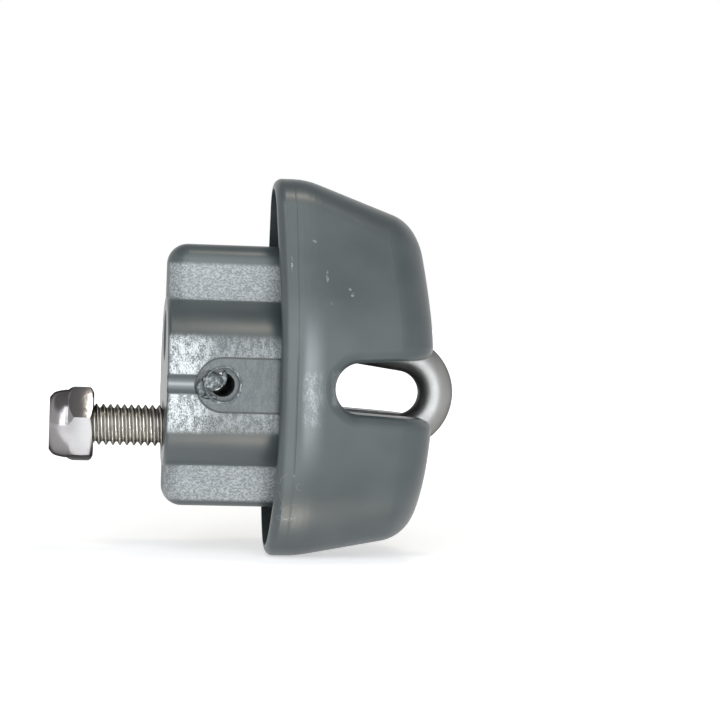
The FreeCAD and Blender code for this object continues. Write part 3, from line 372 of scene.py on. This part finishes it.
def blend_colours(tree, share, first, second):
    """Mixes two colours; each is three numbers or a socket."""
    made = tree.nodes.new("ShaderNodeMix")
    made.data_type = "RGBA"
    tree.links.new(share, made.inputs["Factor"])
    for name, value in (("A", first), ("B", second)):
        socket = next(s for s in made.inputs if s.name == name and s.type == "RGBA")
        if isinstance(value, bpy.types.NodeSocket):
            tree.links.new(value, socket)
        else:
            socket.default_value = (*value, 1)
    return next(s for s in made.outputs if s.type == "RGBA")


def split(tree, place):
    made = tree.nodes.new("ShaderNodeSeparateXYZ")
    tree.links.new(place, made.inputs[0])
    return made.outputs["X"], made.outputs["Y"], made.outputs["Z"]


def bump(tree, shader, height, distance):
    """Gives the shader's surface a relief."""
    made = tree.nodes.new("ShaderNodeBump")
    made.inputs["Strength"].default_value = 1.0
    made.inputs["Distance"].default_value = distance
    tree.links.new(height, made.inputs["Height"])
    tree.links.new(made.outputs["Normal"], shader.inputs["Normal"])


def light_path(tree, *names):
    path = tree.nodes.new("ShaderNodeLightPath").outputs
    return [path[name] for name in names]


def joined(tree, operation, masks):
    made = masks[0]
    for mask in masks[1:]:
        made = math_node(tree, operation, made, mask)
    return made


def product(tree, *masks):
    """Several masks multiplied."""
    return joined(tree, "MULTIPLY", masks)


def union(tree, *masks):
    """The strongest of several masks."""
    return joined(tree, "MAXIMUM", masks)


def scaled(tree, mask, share):
    return math_node(tree, "MULTIPLY", mask, share)


def less(tree, mask):
    return math_node(tree, "SUBTRACT", 1.0, mask)


def away_from(tree, value, place):
    """How far a coordinate is from a place, with its sign."""
    return math_node(tree, "SUBTRACT", value, place)


def unsigned(tree, value):
    return math_node(tree, "ABSOLUTE", value)


def square_sum(tree, first, second):
    return math_node(tree, "ADD", scaled(tree, first, first), scaled(tree, second, second))


def radius_about(tree, first, second):
    return math_node(tree, "SQRT", square_sum(tree, first, second))


def between(tree, value, low, high, edge):
    """One between two limits, with soft edges."""
    return product(tree, ramp(tree, value, low - edge, low), fade(tree, value, high, high + edge))


# --- where the moulding is worn or grainy, and where highlights, glints and shade are painted on it -----

# Limits of the masks. A span has its two ends, and then the width of the soft edge outside them. Any other
# has the places where it starts and stops changing, and then its shares there, where they aren't the usual.

PLUG_SPAN = (PLUG_BACK + 0.7 * MM, -0.5 * MM, 0.5 * MM)
BARREL_FADE = (-15.5 * MM, -11.5 * MM, 1.0, 0.36)
BARREL_TOP = (6.2 * MM, 7.2 * MM)
BARREL_SPAN = (9.5 * MM, 12.45 * MM, 0.05 * MM)
FLAT_FLOOR = (FLAT_HEIGHT + 0.05 * MM, FLAT_HEIGHT + 0.12 * MM)
FLAT_TOP = (FLAT_RADIUS - 0.1 * MM, FLAT_RADIUS)
FLAT_SMOOTH = 0.8
LEAD_TOP = (1.35 * MM, 1.5 * MM)
LEAD_END = (-14.6 * MM, -14.4 * MM)
# a painted highlight along the middle of the lead-in groove
LEAD_SHINE = (0.0, 0.45 * MM, 1.0, 0.25)
LEAD_SPAN = (11.05 * MM, 12.3 * MM, 0.1 * MM)
LEAD_START = (-18.7 * MM, -18.5 * MM)
PAINTED_LEAD_SHARE = 0.5
# the head's blend near the rim, where a painted highlight runs, with painted glints in its middle
STREAK_START = (-0.5 * MM, 0.6 * MM)
STREAK_END = (0.7 * MM, 3.4 * MM)
PAINTED_COLUMN_SPAN = (-3.5 * MM, 3 * MM, 9 * MM)
PAINTED_COLUMN_SHARE = 0.22
GLINT_COLUMN_SPAN = (-4.5 * MM, 1.5 * MM, 2 * MM)
GLINT_COLUMN_SHARE = 0.5
GROOVE_SPAN = (4.3 * MM, 5.6 * MM, 0.7 * MM)
GROOVE_TOP = (1.8 * MM, 2.8 * MM, 0.2)
LOBE_SPAN = (12.2 * MM, 16.6 * MM, 0.7 * MM)
LOBE_SIDES = (4.5 * MM, 4.8 * MM)


def grainy_places(tree, across, deep, up):
    """Where the mould's eroded grain shows, with painted glints on it: unevenly on barrel and head, evenly on
    lobes; and painted highlights on the head's blend near the rim and along the lead-in.
    """
    height = unsigned(tree, up)
    side = unsigned(tree, deep)
    plug = between(tree, across, *PLUG_SPAN)
    barrel = product(
        tree, plug, ramp(tree, across, *BARREL_FADE), fade(tree, height, *BARREL_TOP),
        between(tree, side, *BARREL_SPAN),
    )
    flat = product(tree, fade(tree, side, *FLAT_FLOOR), fade(tree, height, *FLAT_TOP))
    lead = product(tree, fade(tree, height, *LEAD_TOP), fade(tree, across, *LEAD_END))
    quiet = union(tree, scaled(tree, flat, FLAT_SMOOTH), lead)
    barrel = product(tree, barrel, less(tree, quiet))

    # down the head's blend near the rim: a painted highlight with painted glints; along the lead-in's middle:
    # a painted highlight
    streak = product(tree, ramp(tree, across, *STREAK_START), fade(tree, across, *STREAK_END))
    painted_column_highlight = product(tree, streak, between(tree, up, *PAINTED_COLUMN_SPAN))
    column_glints = product(tree, streak, between(tree, up, *GLINT_COLUMN_SPAN))
    painted_lead_highlight = product(
        tree, lead, ramp(tree, height, *LEAD_SHINE), between(tree, side, *LEAD_SPAN),
        ramp(tree, across, *LEAD_START),
    )
    groove = product(tree, between(tree, across, *GROOVE_SPAN), fade(tree, height, *GROOVE_TOP))

    uneven = union(tree, barrel, scaled(tree, column_glints, GLINT_COLUMN_SHARE), groove)
    even = product(tree, plug, between(tree, height, *LOBE_SPAN), fade(tree, side, *LOBE_SIDES))
    painted_highlights = union(tree, scaled(tree, painted_column_highlight, PAINTED_COLUMN_SHARE), scaled(tree, painted_lead_highlight, PAINTED_LEAD_SHARE))
    return uneven, even, painted_highlights


BORE_WALL = (BORE_RADIUS + 0.02 * MM, BORE_RADIUS + 0.1 * MM)
BORE_SIDES = (10.55 * MM, 10.7 * MM)


def bore_inside(tree, across, deep, up):
    """The screw bore's wall, where shade is painted dark."""
    reach = radius_about(tree, away_from(tree, across, SCREW_PLACE), up)
    return product(tree, fade(tree, reach, *BORE_WALL), fade(tree, unsigned(tree, deep), *BORE_SIDES))


OUTLINE_WIDTH = (0.06 * MM, 0.20 * MM)
OUTLINE_END = (-0.1 * MM, 0.0)
OUTLINE_SIDES = (12.45 * MM, 12.6 * MM)


def flat_outline(tree, across, deep, up):
    """A thin line of painted shade round the side flat, along its low step."""
    behind = math_node(tree, "MINIMUM", away_from(tree, across, SCREW_PLACE), 0.0)
    off = unsigned(tree, away_from(tree, radius_about(tree, behind, up), FLAT_RADIUS))
    return product(
        tree, fade(tree, off, *OUTLINE_WIDTH), fade(tree, across, *OUTLINE_END),
        fade(tree, unsigned(tree, deep), *OUTLINE_SIDES),
    )


# scuffs on the head's visible side: place along and up, half sizes along and up, in millimetres
SCUFFS = (
    (1.5, 20.5, 0.5, 0.18),
    (3.2, 15.6, 0.2, 0.9),
    (6.7, 13.1, 0.35, 0.3),
    (3.8, 11.8, 0.4, 0.15),
    (6.4, 13.9, 0.25, 0.25),
    (-1.8, 17.2, 0.14, 1.1),
    (-0.95, -12.4, 0.16, 0.3),
)
SCUFF_NOISE = ((0.35 * MM, 2.0), (0.42, 0.60))
SCUFF_EDGE = (0.3, 1.3)
SCUFF_WEAR = 0.34
CURL_NOISE = (2.6 * MM, 1.0)
CURL_WIDTH = (0.002, 0.008, 0.2)
CURL_SPAN = (-3 * MM, -0.5 * MM, 1 * MM)
CURL_HEIGHT_SPAN = (-19 * MM, -13 * MM, 1.5 * MM)
NEAR_SIDE = (-4 * MM, -3 * MM)


def scuffed_places(tree, place, across, deep, up):
    """Short scuffs on the visible side, broken up by noise, and curly scratches low on the rim."""
    broken = pattern(tree, place, *SCUFF_NOISE)
    marks = []
    for x, z, half_x, half_z in SCUFFS:
        along = scaled(tree, away_from(tree, across, x * MM), 1 / (half_x * MM))
        high = scaled(tree, away_from(tree, up, z * MM), 1 / (half_z * MM))
        marks.append(fade(tree, square_sum(tree, along, high), *SCUFF_EDGE))
    scuffs = product(tree, union(tree, *marks), broken)
    line = unsigned(tree, away_from(tree, noise(tree, place, *CURL_NOISE), 0.5))
    curls = product(
        tree, fade(tree, line, *CURL_WIDTH), between(tree, across, *CURL_SPAN),
        between(tree, up, *CURL_HEIGHT_SPAN),
    )
    near = fade(tree, deep, *NEAR_SIDE)
    return product(tree, union(tree, scaled(tree, scuffs, SCUFF_WEAR), curls), near)


RAGGED_SPAN = (-12 * MM, 4 * MM, 1 * MM)
RAGGED_NOISE = (0.9 * MM, 2.0)
RIDGE_HEIGHTS = (1.2, 0.3)
RIDGE_WIDTH = (0.03 * MM, 0.16 * MM)


def band_line(tree, place, across, up):
    """A low ridge where the rim's band ends, higher and ragged beside the groove; it also carries a line of
    painted shade.
    """
    off = unsigned(tree, away_from(tree, across, BAND_LINE))
    ragged = product(tree, between(tree, up, *RAGGED_SPAN), noise(tree, place, *RAGGED_NOISE))
    tall = math_node(tree, "MULTIPLY_ADD", ragged, *RIDGE_HEIGHTS)
    return product(tree, fade(tree, off, *RIDGE_WIDTH), tall)


# --- materials ----------------------------------------------------------------------------------------

# Patterns: the noise's size, detail, roughness and stretch, then the ramp it is read through. The grain's
# size is the user's.

MIDDLE = (0.3, 0.7)
GRAIN = (2.0, 0.65, (1.0, 1.0, 0.7))
CLOUDS = ((7 * MM, 3.0), MIDDLE)
PATCHES = ((1.3 * MM, 3.0, 0.6, (1.6, 1.0, 0.6)), (0.35, 0.70, -0.05, 0.17))
SPECKLE_NOISE = (0.17 * MM, 2.0, 0.7, (1.0, 1.0, 0.6))
SPECKLE_READING = (0.38, 0.70, 0.10, 1.0)
STIPPLE = ((0.27 * MM, 2.0, 0.6, (0.8, 1.0, 1.1)), (0.36, 0.68, 0.17, 0.52))
TEARS = ((0.5 * MM, 3.0, 0.6), (0.45, 0.72, 0.0, 0.55))
TORN_GRAIN = (0.22 * MM, 2.0)
TORN_DEPTH = 0.04 * MM
NYLON_CLOUDS = ((0.8 * MM, 2.0), MIDDLE)

# how strongly the relief follows the grain, as a factor and a rest, and the pebbles towards the front
GRAIN_RELIEF = (0.9, 0.1)
PEBBLE_RELIEF = (9 * MM, 13 * MM, 0.05, 0.22)
RIDGE_RELIEF = 1.4

# shades of a colour, one of them painted shade, how much painted shade the bore and ridge take, and how much
# wear roughens the moulding
DARKER, LIGHTER, PAINTED_SHADE, STRETCHED = 0.9, 1.12, 0.25, 1.3
BORE_SHADE = 0.45
RIDGE_SHADE = 0.35
WEAR_ROUGHNESS = 0.15

# the steel's darker clouds, their size in grains, and the range of its roughness
STEEL_DARKER = 0.88
STEEL_CLOUDS = 8
STEEL_GLOSS = (0.92, 1.1)
NYLON_ROUGHNESS = 0.45


def plastic():
    """Grey moulded plastic: smooth with a fine satin grain, with pale glints painted where the mould was
    eroded, painted highlights on the head's blend and the lead-in, and painted shade in the bore, round the
    side flat and along the band's line.
    """
    looks = bpy.context.scene.fitting_plastic
    material, tree, shader, place = new_material("moulded_grey")
    across, deep, up = split(tree, place)
    uneven, even, painted_highlights = grainy_places(tree, across, deep, up)
    scuffs = scuffed_places(tree, place, across, deep, up)
    ridge = band_line(tree, place, across, up)
    outline = flat_outline(tree, across, deep, up)
    bore = bore_inside(tree, across, deep, up)

    rough = math_node(tree, "MULTIPLY_ADD", union(tree, uneven, even), *GRAIN_RELIEF)
    grain = product(tree, noise(tree, place, looks.grain, *GRAIN), rough)
    pebbles = product(tree, noise(tree, place, looks.pebble, 1.0), ramp(tree, across, *PEBBLE_RELIEF))
    relief = joined(tree, "ADD", (grain, pebbles, scaled(tree, ridge, RIDGE_RELIEF)))
    bump(tree, shader, relief, looks.grain_depth)

    darker, lighter, painted_shade_colour = (shade(looks.base, share) for share in (DARKER, LIGHTER, PAINTED_SHADE))
    base = blend_colours(tree, pattern(tree, place, *CLOUDS), darker, lighter)
    # pale glints painted on the eroded grain: specks on barrel, head and groove, stipple on the lobes
    speckle = noise(tree, place, *SPECKLE_NOISE)
    speckle = math_node(tree, "ADD", speckle, pattern(tree, place, *PATCHES))
    glint_specks = product(tree, ramp(tree, speckle, *SPECKLE_READING), uneven)
    glint_stipple = product(tree, pattern(tree, place, *STIPPLE), even)
    # the pale colour takes the painted glints and painted highlights, and the real scuffs and curly scratches
    worn = union(tree, glint_specks, glint_stipple, painted_highlights, scuffs)
    base = blend_colours(tree, worn, base, looks.pale)
    # painted shade: the bore's wall, the line round the side flat and the band's line are painted darker
    dark = union(tree, outline, scaled(tree, bore, BORE_SHADE), scaled(tree, ridge, RIDGE_SHADE))
    base = blend_colours(tree, dark, base, painted_shade_colour)
    tree.links.new(base, shader.inputs["Base Color"])
    dull = union(tree, bore, scaled(tree, worn, WEAR_ROUGHNESS))
    tree.links.new(ramp(tree, dull, 0.0, 1.0, looks.roughness, 1.0), shader.inputs["Roughness"])
    return material


def torn_plastic():
    """The moulding's plastic, pale where it was torn and stretched."""
    looks = bpy.context.scene.fitting_plastic
    material, tree, shader, place = new_material("torn_grey")
    base = blend_colours(tree, pattern(tree, place, *TEARS), shade(looks.base, STRETCHED), looks.pale)
    tree.links.new(base, shader.inputs["Base Color"])
    shader.inputs["Roughness"].default_value = looks.roughness
    bump(tree, shader, noise(tree, place, *TORN_GRAIN), TORN_DEPTH)
    return material


def steel(name, tint, roughness, grain, depth, edge=0.12):
    """A metal with fine polishing marks, darker at grazing angles, uneven in its gloss."""
    material, tree, shader, place = new_material(name)
    shader.inputs["Metallic"].default_value = 1.0
    shader.inputs["Specular Tint"].default_value = (edge, edge, edge, 1)
    marks = noise(tree, place, grain, 3.0, 0.6)
    cloud = pattern(tree, place, (STEEL_CLOUDS * grain, 2.0), MIDDLE)
    base = blend_colours(tree, cloud, shade(tint, STEEL_DARKER), tint)
    tree.links.new(base, shader.inputs["Base Color"])
    gloss = ramp(tree, marks, *MIDDLE, *(share * roughness for share in STEEL_GLOSS))
    tree.links.new(gloss, shader.inputs["Roughness"])
    bump(tree, shader, marks, depth)
    return material


def nylon():
    """Natural nylon, slightly cloudy."""
    looks = bpy.context.scene.fitting_steel
    material, tree, shader, place = new_material("natural_nylon")
    cloud = pattern(tree, place, *NYLON_CLOUDS)
    base = blend_colours(tree, cloud, shade(looks.nylon, DARKER), looks.nylon)
    tree.links.new(base, shader.inputs["Base Color"])
    shader.inputs["Roughness"].default_value = NYLON_ROUGHNESS
    return material


# --- operators ----------------------------------------------------------------------------------------


class OBJECT_OT_fitting_moulding(bpy.types.Operator):
    """Gives the moulded head and plug their grey plastic"""

    bl_idname = "object.fitting_moulding"
    bl_label = "Finish moulding"

    def execute(self, context):
        dress(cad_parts["fitting_body"], plastic())
        return {"FINISHED"}


class OBJECT_OT_fitting_seats(bpy.types.Operator):
    """Models the pressed-up rim and the torn burrs of the worn screw seats on both sides"""

    bl_idname = "object.fitting_seats"
    bl_label = "Model worn seats"

    def execute(self, context):
        finish = torn_plastic()
        near = [self.rim("near_seat_rim")] + [self.burr(*torn) for torn in TORN]
        far = [self.other_side(piece) for piece in near]
        for piece in near + far:
            dress(piece, finish)
            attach(piece, "fitting")
        return {"FINISHED"}

    def rim(self, name):
        """A low uneven ring round the seat's mouth, spun about the screw's axis."""
        deselect()
        bpy.ops.mesh.primitive_circle_add(
            vertices=14, radius=SEAT_BEAD, location=(SCREW_PLACE + SEAT_RADIUS, -FLAT_HEIGHT, 0)
        )
        ring = named(name)
        settle(ring)
        edit_all(ring)
        bpy.ops.mesh.spin(
            steps=TURNED_STEPS, angle=2 * math.pi, center=(SCREW_PLACE, -FLAT_HEIGHT, 0), axis=(0, 1, 0)
        )
        leave_edit()
        tidy_mesh(ring, 10 * MERGED)
        self.crumple(ring, size=0.7, depth=0.16)
        smooth(ring, 60)
        return ring

    def burr(self, name, place, half, depth):
        """A lump of torn plastic: a stretched ball, crumpled coarsely and then finely."""
        deselect()
        bpy.ops.mesh.primitive_ico_sphere_add(
            subdivisions=5, radius=1 * MM, location=[value * MM for value in place]
        )
        lump = named(name)
        edit_all(lump)
        bpy.ops.transform.resize(value=half)
        leave_edit()
        settle(lump)
        self.crumple(lump, size=1.1, depth=depth)
        self.crumple(lump, size=0.35, depth=0.35 * depth)
        smooth(lump, 32)
        return lump

    def crumple(self, piece, size, depth):
        """Pushes the surface in and out by a cloud pattern; size and depth in millimetres."""
        clouds = bpy.data.textures.new(piece.name + "_clouds", "CLOUDS")
        clouds.noise_scale = size * MM
        clouds.noise_depth = 1
        apply_modifier(
            piece, "DISPLACE", texture=clouds, texture_coords="LOCAL", strength=depth * MM, mid_level=0.5
        )
        bpy.data.textures.remove(clouds)

    def other_side(self, piece):
        """A mirrored copy with its own mesh, on the far side."""
        copy = piece.copy()
        copy.data = piece.data.copy()
        copy.name = piece.name.replace("near", "far")
        bpy.context.scene.collection.objects.link(copy)
        copy.scale.y = -1
        settle(copy)
        tidy_mesh(copy)
        return copy


class OBJECT_OT_fitting_hook(bpy.types.Operator):
    """Models the polished rod with its bend and short leg"""

    bl_idname = "object.fitting_hook"
    bl_label = "Model hook"

    def execute(self, context):
        looks = context.scene.fitting_steel
        start = THREAD_FREE_END + THREAD_LENGTH - looks.pitch
        deselect()
        bpy.ops.mesh.primitive_circle_add(
            vertices=ROD_SIDES, radius=looks.rod_radius, fill_type="NGON",
            location=(start, 0, SHANK_HEIGHT), rotation=(0, math.pi / 2, 0),
        )
        rod = named("polished_hook")
        settle(rod)
        edit_all(rod)
        run = BEND_CENTRE.x - start
        bpy.ops.mesh.extrude_region_move(TRANSFORM_OT_translate={"value": (run, 0, 0)})
        bpy.ops.mesh.spin(
            steps=BEND_STEPS, angle=math.pi - LEG_SPLAY, center=BEND_CENTRE, axis=(0, 1, 0)
        )
        self.draw_out()
        leave_edit()
        tidy_mesh(rod)
        smooth(rod, 35)
        finish = steel(
            "polished_steel", looks.bright, roughness=0.40, grain=0.4 * MM, depth=0.0003 * MM, edge=0.3
        )
        dress(rod, finish)
        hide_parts("hook_bolt")
        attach(rod, "hook")
        return {"FINISHED"}

    def draw_out(self):
        """Draws the short leg out of the bend's last ring, which is selected, and rounds its end."""
        direction = Vector((-math.cos(LEG_SPLAY), 0, math.sin(LEG_SPLAY)))
        end = BEND_CENTRE + Vector((math.sin(LEG_SPLAY), 0, math.cos(LEG_SPLAY))) * BEND_RADIUS
        straight = LEG_LENGTH - LEG_ROUNDING
        for run, size in ((straight, 1.0), (LEG_ROUNDING * 0.3, 0.96), (LEG_ROUNDING * 0.7, 0.82)):
            bpy.ops.mesh.extrude_region_move(TRANSFORM_OT_translate={"value": direction * run})
            end = end + direction * run
            bpy.ops.transform.resize(value=(size,) * 3, center_override=end)


class OBJECT_OT_fitting_thread(bpy.types.Operator):
    """Models the rolled thread on the shank"""

    bl_idname = "object.fitting_thread"
    bl_label = "Model thread"

    def execute(self, context):
        looks = context.scene.fitting_steel
        pitch, root = looks.pitch, looks.root_radius
        depth = looks.crest_radius - root
        thread = draw_line("rolled_thread", [(along * pitch, root + rise * depth) for along, rise in FLANK])
        leave_edit()
        # a turn more than the thread at each end, which the trimming takes off
        apply_modifier(
            thread, "SCREW", axis="X", angle=2 * math.pi, screw_offset=pitch,
            iterations=round(THREAD_LENGTH / pitch) + 2, steps=ROD_SIDES, render_steps=ROD_SIDES,
            use_merge_vertices=True, merge_threshold=MERGED,
        )
        thread.location = (THREAD_FREE_END - pitch, 0, SHANK_HEIGHT)
        settle(thread)
        tidy_mesh(thread)
        self.trim(thread, THREAD_FREE_END - 0.5 * pitch, -1)
        self.trim(thread, THREAD_FREE_END + THREAD_LENGTH, 1)
        self.point(thread, looks.crest_radius)
        smooth(thread, 50)
        finish = steel("rolled_steel", looks.rolled, roughness=0.3, grain=0.2 * MM, depth=0.006 * MM)
        dress(thread, finish)
        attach(thread, "hook")
        return {"FINISHED"}

    def trim(self, thread, place, way):
        """Cuts the thread square at a place and drops what lies beyond it."""
        edit_all(thread)
        bpy.ops.mesh.bisect(
            plane_co=(place, 0, 0), plane_no=(way, 0, 0), use_fill=True, clear_outer=True
        )
        leave_edit()

    def point(self, thread, crest):
        """Turns the chamfer on the thread's free end."""
        deselect()
        bpy.ops.mesh.primitive_cylinder_add(
            vertices=TURNED_STEPS, radius=crest + 0.02 * MM, depth=THREAD_LENGTH + 2 * MM,
            location=(THREAD_FREE_END + THREAD_LENGTH / 2 + 1 * MM, 0, SHANK_HEIGHT),
            rotation=(0, math.pi / 2, 0),
        )
        turned = bpy.context.object
        settle(turned)
        bpy.ops.object.mode_set(mode="EDIT")
        bpy.ops.mesh.select_all(action="DESELECT")
        leave_edit()
        for vertex in turned.data.vertices:
            vertex.select = vertex.co.x < THREAD_FREE_END + 1 * MM
        bpy.ops.object.mode_set(mode="EDIT")
        bpy.ops.mesh.select_mode(type="VERT")
        bpy.ops.mesh.bevel(offset=THREAD_CHAMFER, segments=1, affect="EDGES")
        leave_edit()
        combine(thread, "INTERSECT", turned)


class OBJECT_OT_fitting_nut(bpy.types.Operator):
    """Models the lock nut with its chamfered corners and rolled collar, and finishes its insert"""

    bl_idname = "object.fitting_nut"
    bl_label = "Model nut"

    def execute(self, context):
        looks = context.scene.fitting_steel
        block = self.turned("lock_nut_block", BLANK_PROFILE)
        combine(block, "INTERSECT", self.prism())
        combine(block, "UNION", self.turned("collar", COLLAR_PROFILE))
        tidy_mesh(block)
        apply_modifier(
            block, "BEVEL", width=NUT_EDGE, segments=3, limit_method="ANGLE", angle_limit=math.radians(24)
        )
        smooth(block, 30)
        dress(block, steel("bright_nut", looks.nut, roughness=0.17, grain=1.2 * MM, depth=0.02 * MM))
        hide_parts("lock_nut")
        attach(block, "nut")
        dress(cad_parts["nylon_insert"], nylon())
        return {"FINISHED"}

    def prism(self):
        """The hexagon's six sides, longer than the nut."""
        deselect()
        bpy.ops.mesh.primitive_cylinder_add(
            vertices=6, radius=NUT_CORNERS, depth=3 * NUT_HEXAGON, location=(NUT_FACE, 0, SHANK_HEIGHT),
        )
        made = bpy.context.object
        along_bolt = Matrix.Rotation(math.pi / 2, 3, "Y")
        made.rotation_euler = (Matrix.Rotation(NUT_TURN, 3, "X") @ along_bolt).to_euler()
        settle(made)
        return made

    def turned(self, name, profile):
        """A ring turned from a closed profile of places along the axis and radii."""
        places = [(along, SHANK_HEIGHT + radius) for along, radius in profile]
        ring = draw_line(name, places + places[:1])
        bpy.ops.mesh.select_all(action="SELECT")
        bpy.ops.mesh.spin(
            steps=TURNED_STEPS, angle=2 * math.pi, center=(0, 0, SHANK_HEIGHT), axis=(1, 0, 0)
        )
        leave_edit()
        tidy_mesh(ring, 2 * MERGED)
        return ring


class OBJECT_OT_fitting_stage(bpy.types.Operator):
    """Adds the floor, the lamps, the white surroundings and the camera"""

    bl_idname = "object.fitting_stage"
    bl_label = "Set stage"

    def execute(self, context):
        stage = context.scene.fitting_stage
        self.add_floor()
        self.add_world(stage.room)
        for names, place, width, watts, share in (
            (("front_light", "table_light"), (0.032, -0.40), 0.17, stage.front_lamp, 1.0),
            (("left_light", "left_table_light"), (-0.15, -0.37), 0.11, stage.left_lamp, 0.7),
        ):
            self.add_tall_lamps(stage, names, place, width, watts, share)
        for name, height in (("upper_light", SIDE_LAMP_HEIGHT), ("lower_light", -SIDE_LAMP_HEIGHT)):
            self.lamp(name, (*SIDE_LAMP_PLACE, height), SIDE_LAMP_SIZE, stage.side_lamp, stage.warm)
        self.add_camera(stage)
        context.scene.view_settings.view_transform = "Standard"
        return {"FINISHED"}

    def add_floor(self):
        """A pale floor, white towards the horizon; lamps shine through it from below, as on a light table."""
        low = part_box("fitting_body")[0].z
        deselect()
        bpy.ops.mesh.primitive_plane_add(size=FLOOR_SIZE, location=(0, 0, low))
        floor = named("floor")
        settle(floor)
        floor.visible_shadow = False
        material, tree, shader, place = new_material("pale_floor")
        shader.inputs["Base Color"].default_value = (0.8, 0.8, 0.8, 1)
        shader.inputs["Roughness"].default_value = 0.9
        shader.inputs["Emission Color"].default_value = (1, 1, 1, 1)
        away = tree.nodes.new("ShaderNodeVectorMath")
        away.operation = "LENGTH"
        tree.links.new(place, away.inputs[0])
        glow = ramp(tree, away.outputs["Value"], *FLOOR_GLOW)
        seen = union(tree, *light_path(tree, *WHITE_RAYS))
        tree.links.new(product(tree, seen, glow), shader.inputs["Emission Strength"])
        dress(floor, material)

    def add_world(self, level):
        """White to the camera and in low reflections; overhead, reflections show the room's own level."""
        world = bpy.data.worlds.new("white_room")
        bpy.context.scene.world = world
        world.use_nodes = True
        tree = world.node_tree
        background = tree.nodes["Background"]
        background.inputs["Color"].default_value = (1, 1, 1, 1)
        up = split(tree, tree.nodes.new("ShaderNodeTexCoord").outputs["Generated"])[2]
        direct, mirrored, through = light_path(tree, *WHITE_RAYS)
        mirrored = product(tree, mirrored, fade(tree, up, *OVERHEAD))
        seen = union(tree, direct, mirrored, through)
        tree.links.new(math_node(tree, "MULTIPLY_ADD", seen, 1 - level, level), background.inputs["Strength"])

    def add_tall_lamps(self, stage, names, place, width, watts, share):
        """A level lamp above the floor, and a weaker one under it that lights the object from below."""
        shares = (1.0, share * stage.table_share)
        for name, (height, reach), part in zip(names, (ABOVE, UNDER), shares):
            self.lamp(name, (*place, height), (width, reach), part * watts, stage.cool, height)

    def lamp(self, name, place, size, watts, tint, aim=0.0):
        """A rectangular lamp, its width and height in metres, turned to the upright axis at a height."""
        data = bpy.data.lights.new(name, "AREA")
        data.shape = "RECTANGLE"
        data.size, data.size_y = size
        data.energy = watts
        data.color = tint
        made = bpy.data.objects.new(name, data)
        bpy.context.scene.collection.objects.link(made)
        made.location = place
        made.rotation_euler = (Vector((0, 0, aim)) - made.location).to_track_quat("-Z", "Y").to_euler()
        # bounced rays end on the floor, so a lamp under it is only reached by looking straight for it
        data.cycles.use_multiple_importance_sampling = made.location.z > 0

    def add_camera(self, stage):
        data = bpy.data.cameras.new("camera")
        data.lens = stage.lens
        data.sensor_width = SENSOR_WIDTH
        data.clip_start = 0.01
        data.clip_end = 20
        camera = bpy.data.objects.new("camera", data)
        bpy.context.scene.collection.objects.link(camera)
        level = Matrix.Rotation(math.pi / 2 + stage.pitch, 4, "X")
        turn = Matrix.Rotation(-stage.yaw, 4, "Z")
        roll = Matrix.Rotation(stage.roll, 4, "Z")
        camera.matrix_world = Matrix.Translation(stage.camera_place) @ turn @ level @ roll
        bpy.context.scene.camera = camera


OPERATORS = (
    OBJECT_OT_fitting_moulding,
    OBJECT_OT_fitting_seats,
    OBJECT_OT_fitting_hook,
    OBJECT_OT_fitting_thread,
    OBJECT_OT_fitting_nut,
    OBJECT_OT_fitting_stage,
)
GROUPS = {
    "fitting_plastic": FittingPlastic,
    "fitting_steel": FittingSteel,
    "fitting_stage": FittingStage,
}


class VIEW3D_PT_fitting(bpy.types.Panel):
    """Lists the steps that dress the fitting"""

    bl_label = "Fitting"
    bl_space_type = "VIEW_3D"
    bl_region_type = "UI"
    bl_category = "Fitting"

    def draw(self, context):
        for operator in OPERATORS:
            self.layout.operator(operator.bl_idname)
        for name, group in GROUPS.items():
            box = self.layout.box()
            for key in group.__annotations__:
                box.prop(getattr(context.scene, name), key)


def register():
    for group in GROUPS.values():
        bpy.utils.register_class(group)
    for name, group in GROUPS.items():
        setattr(bpy.types.Scene, name, bpy.props.PointerProperty(type=group))
    for operator in OPERATORS:
        bpy.utils.register_class(operator)
    bpy.utils.register_class(VIEW3D_PT_fitting)


def unregister():
    bpy.utils.unregister_class(VIEW3D_PT_fitting)
    for operator in reversed(OPERATORS):
        bpy.utils.unregister_class(operator)
    for name in GROUPS:
        delattr(bpy.types.Scene, name)
    for group in reversed(GROUPS.values()):
        bpy.utils.unregister_class(group)


def main():
    register()
    bpy.ops.object.fitting_moulding()
    bpy.ops.object.fitting_seats()
    bpy.ops.object.fitting_hook()
    bpy.ops.object.fitting_thread()
    bpy.ops.object.fitting_nut()
    bpy.ops.object.fitting_stage()


if __name__ == "__main__":
    main()
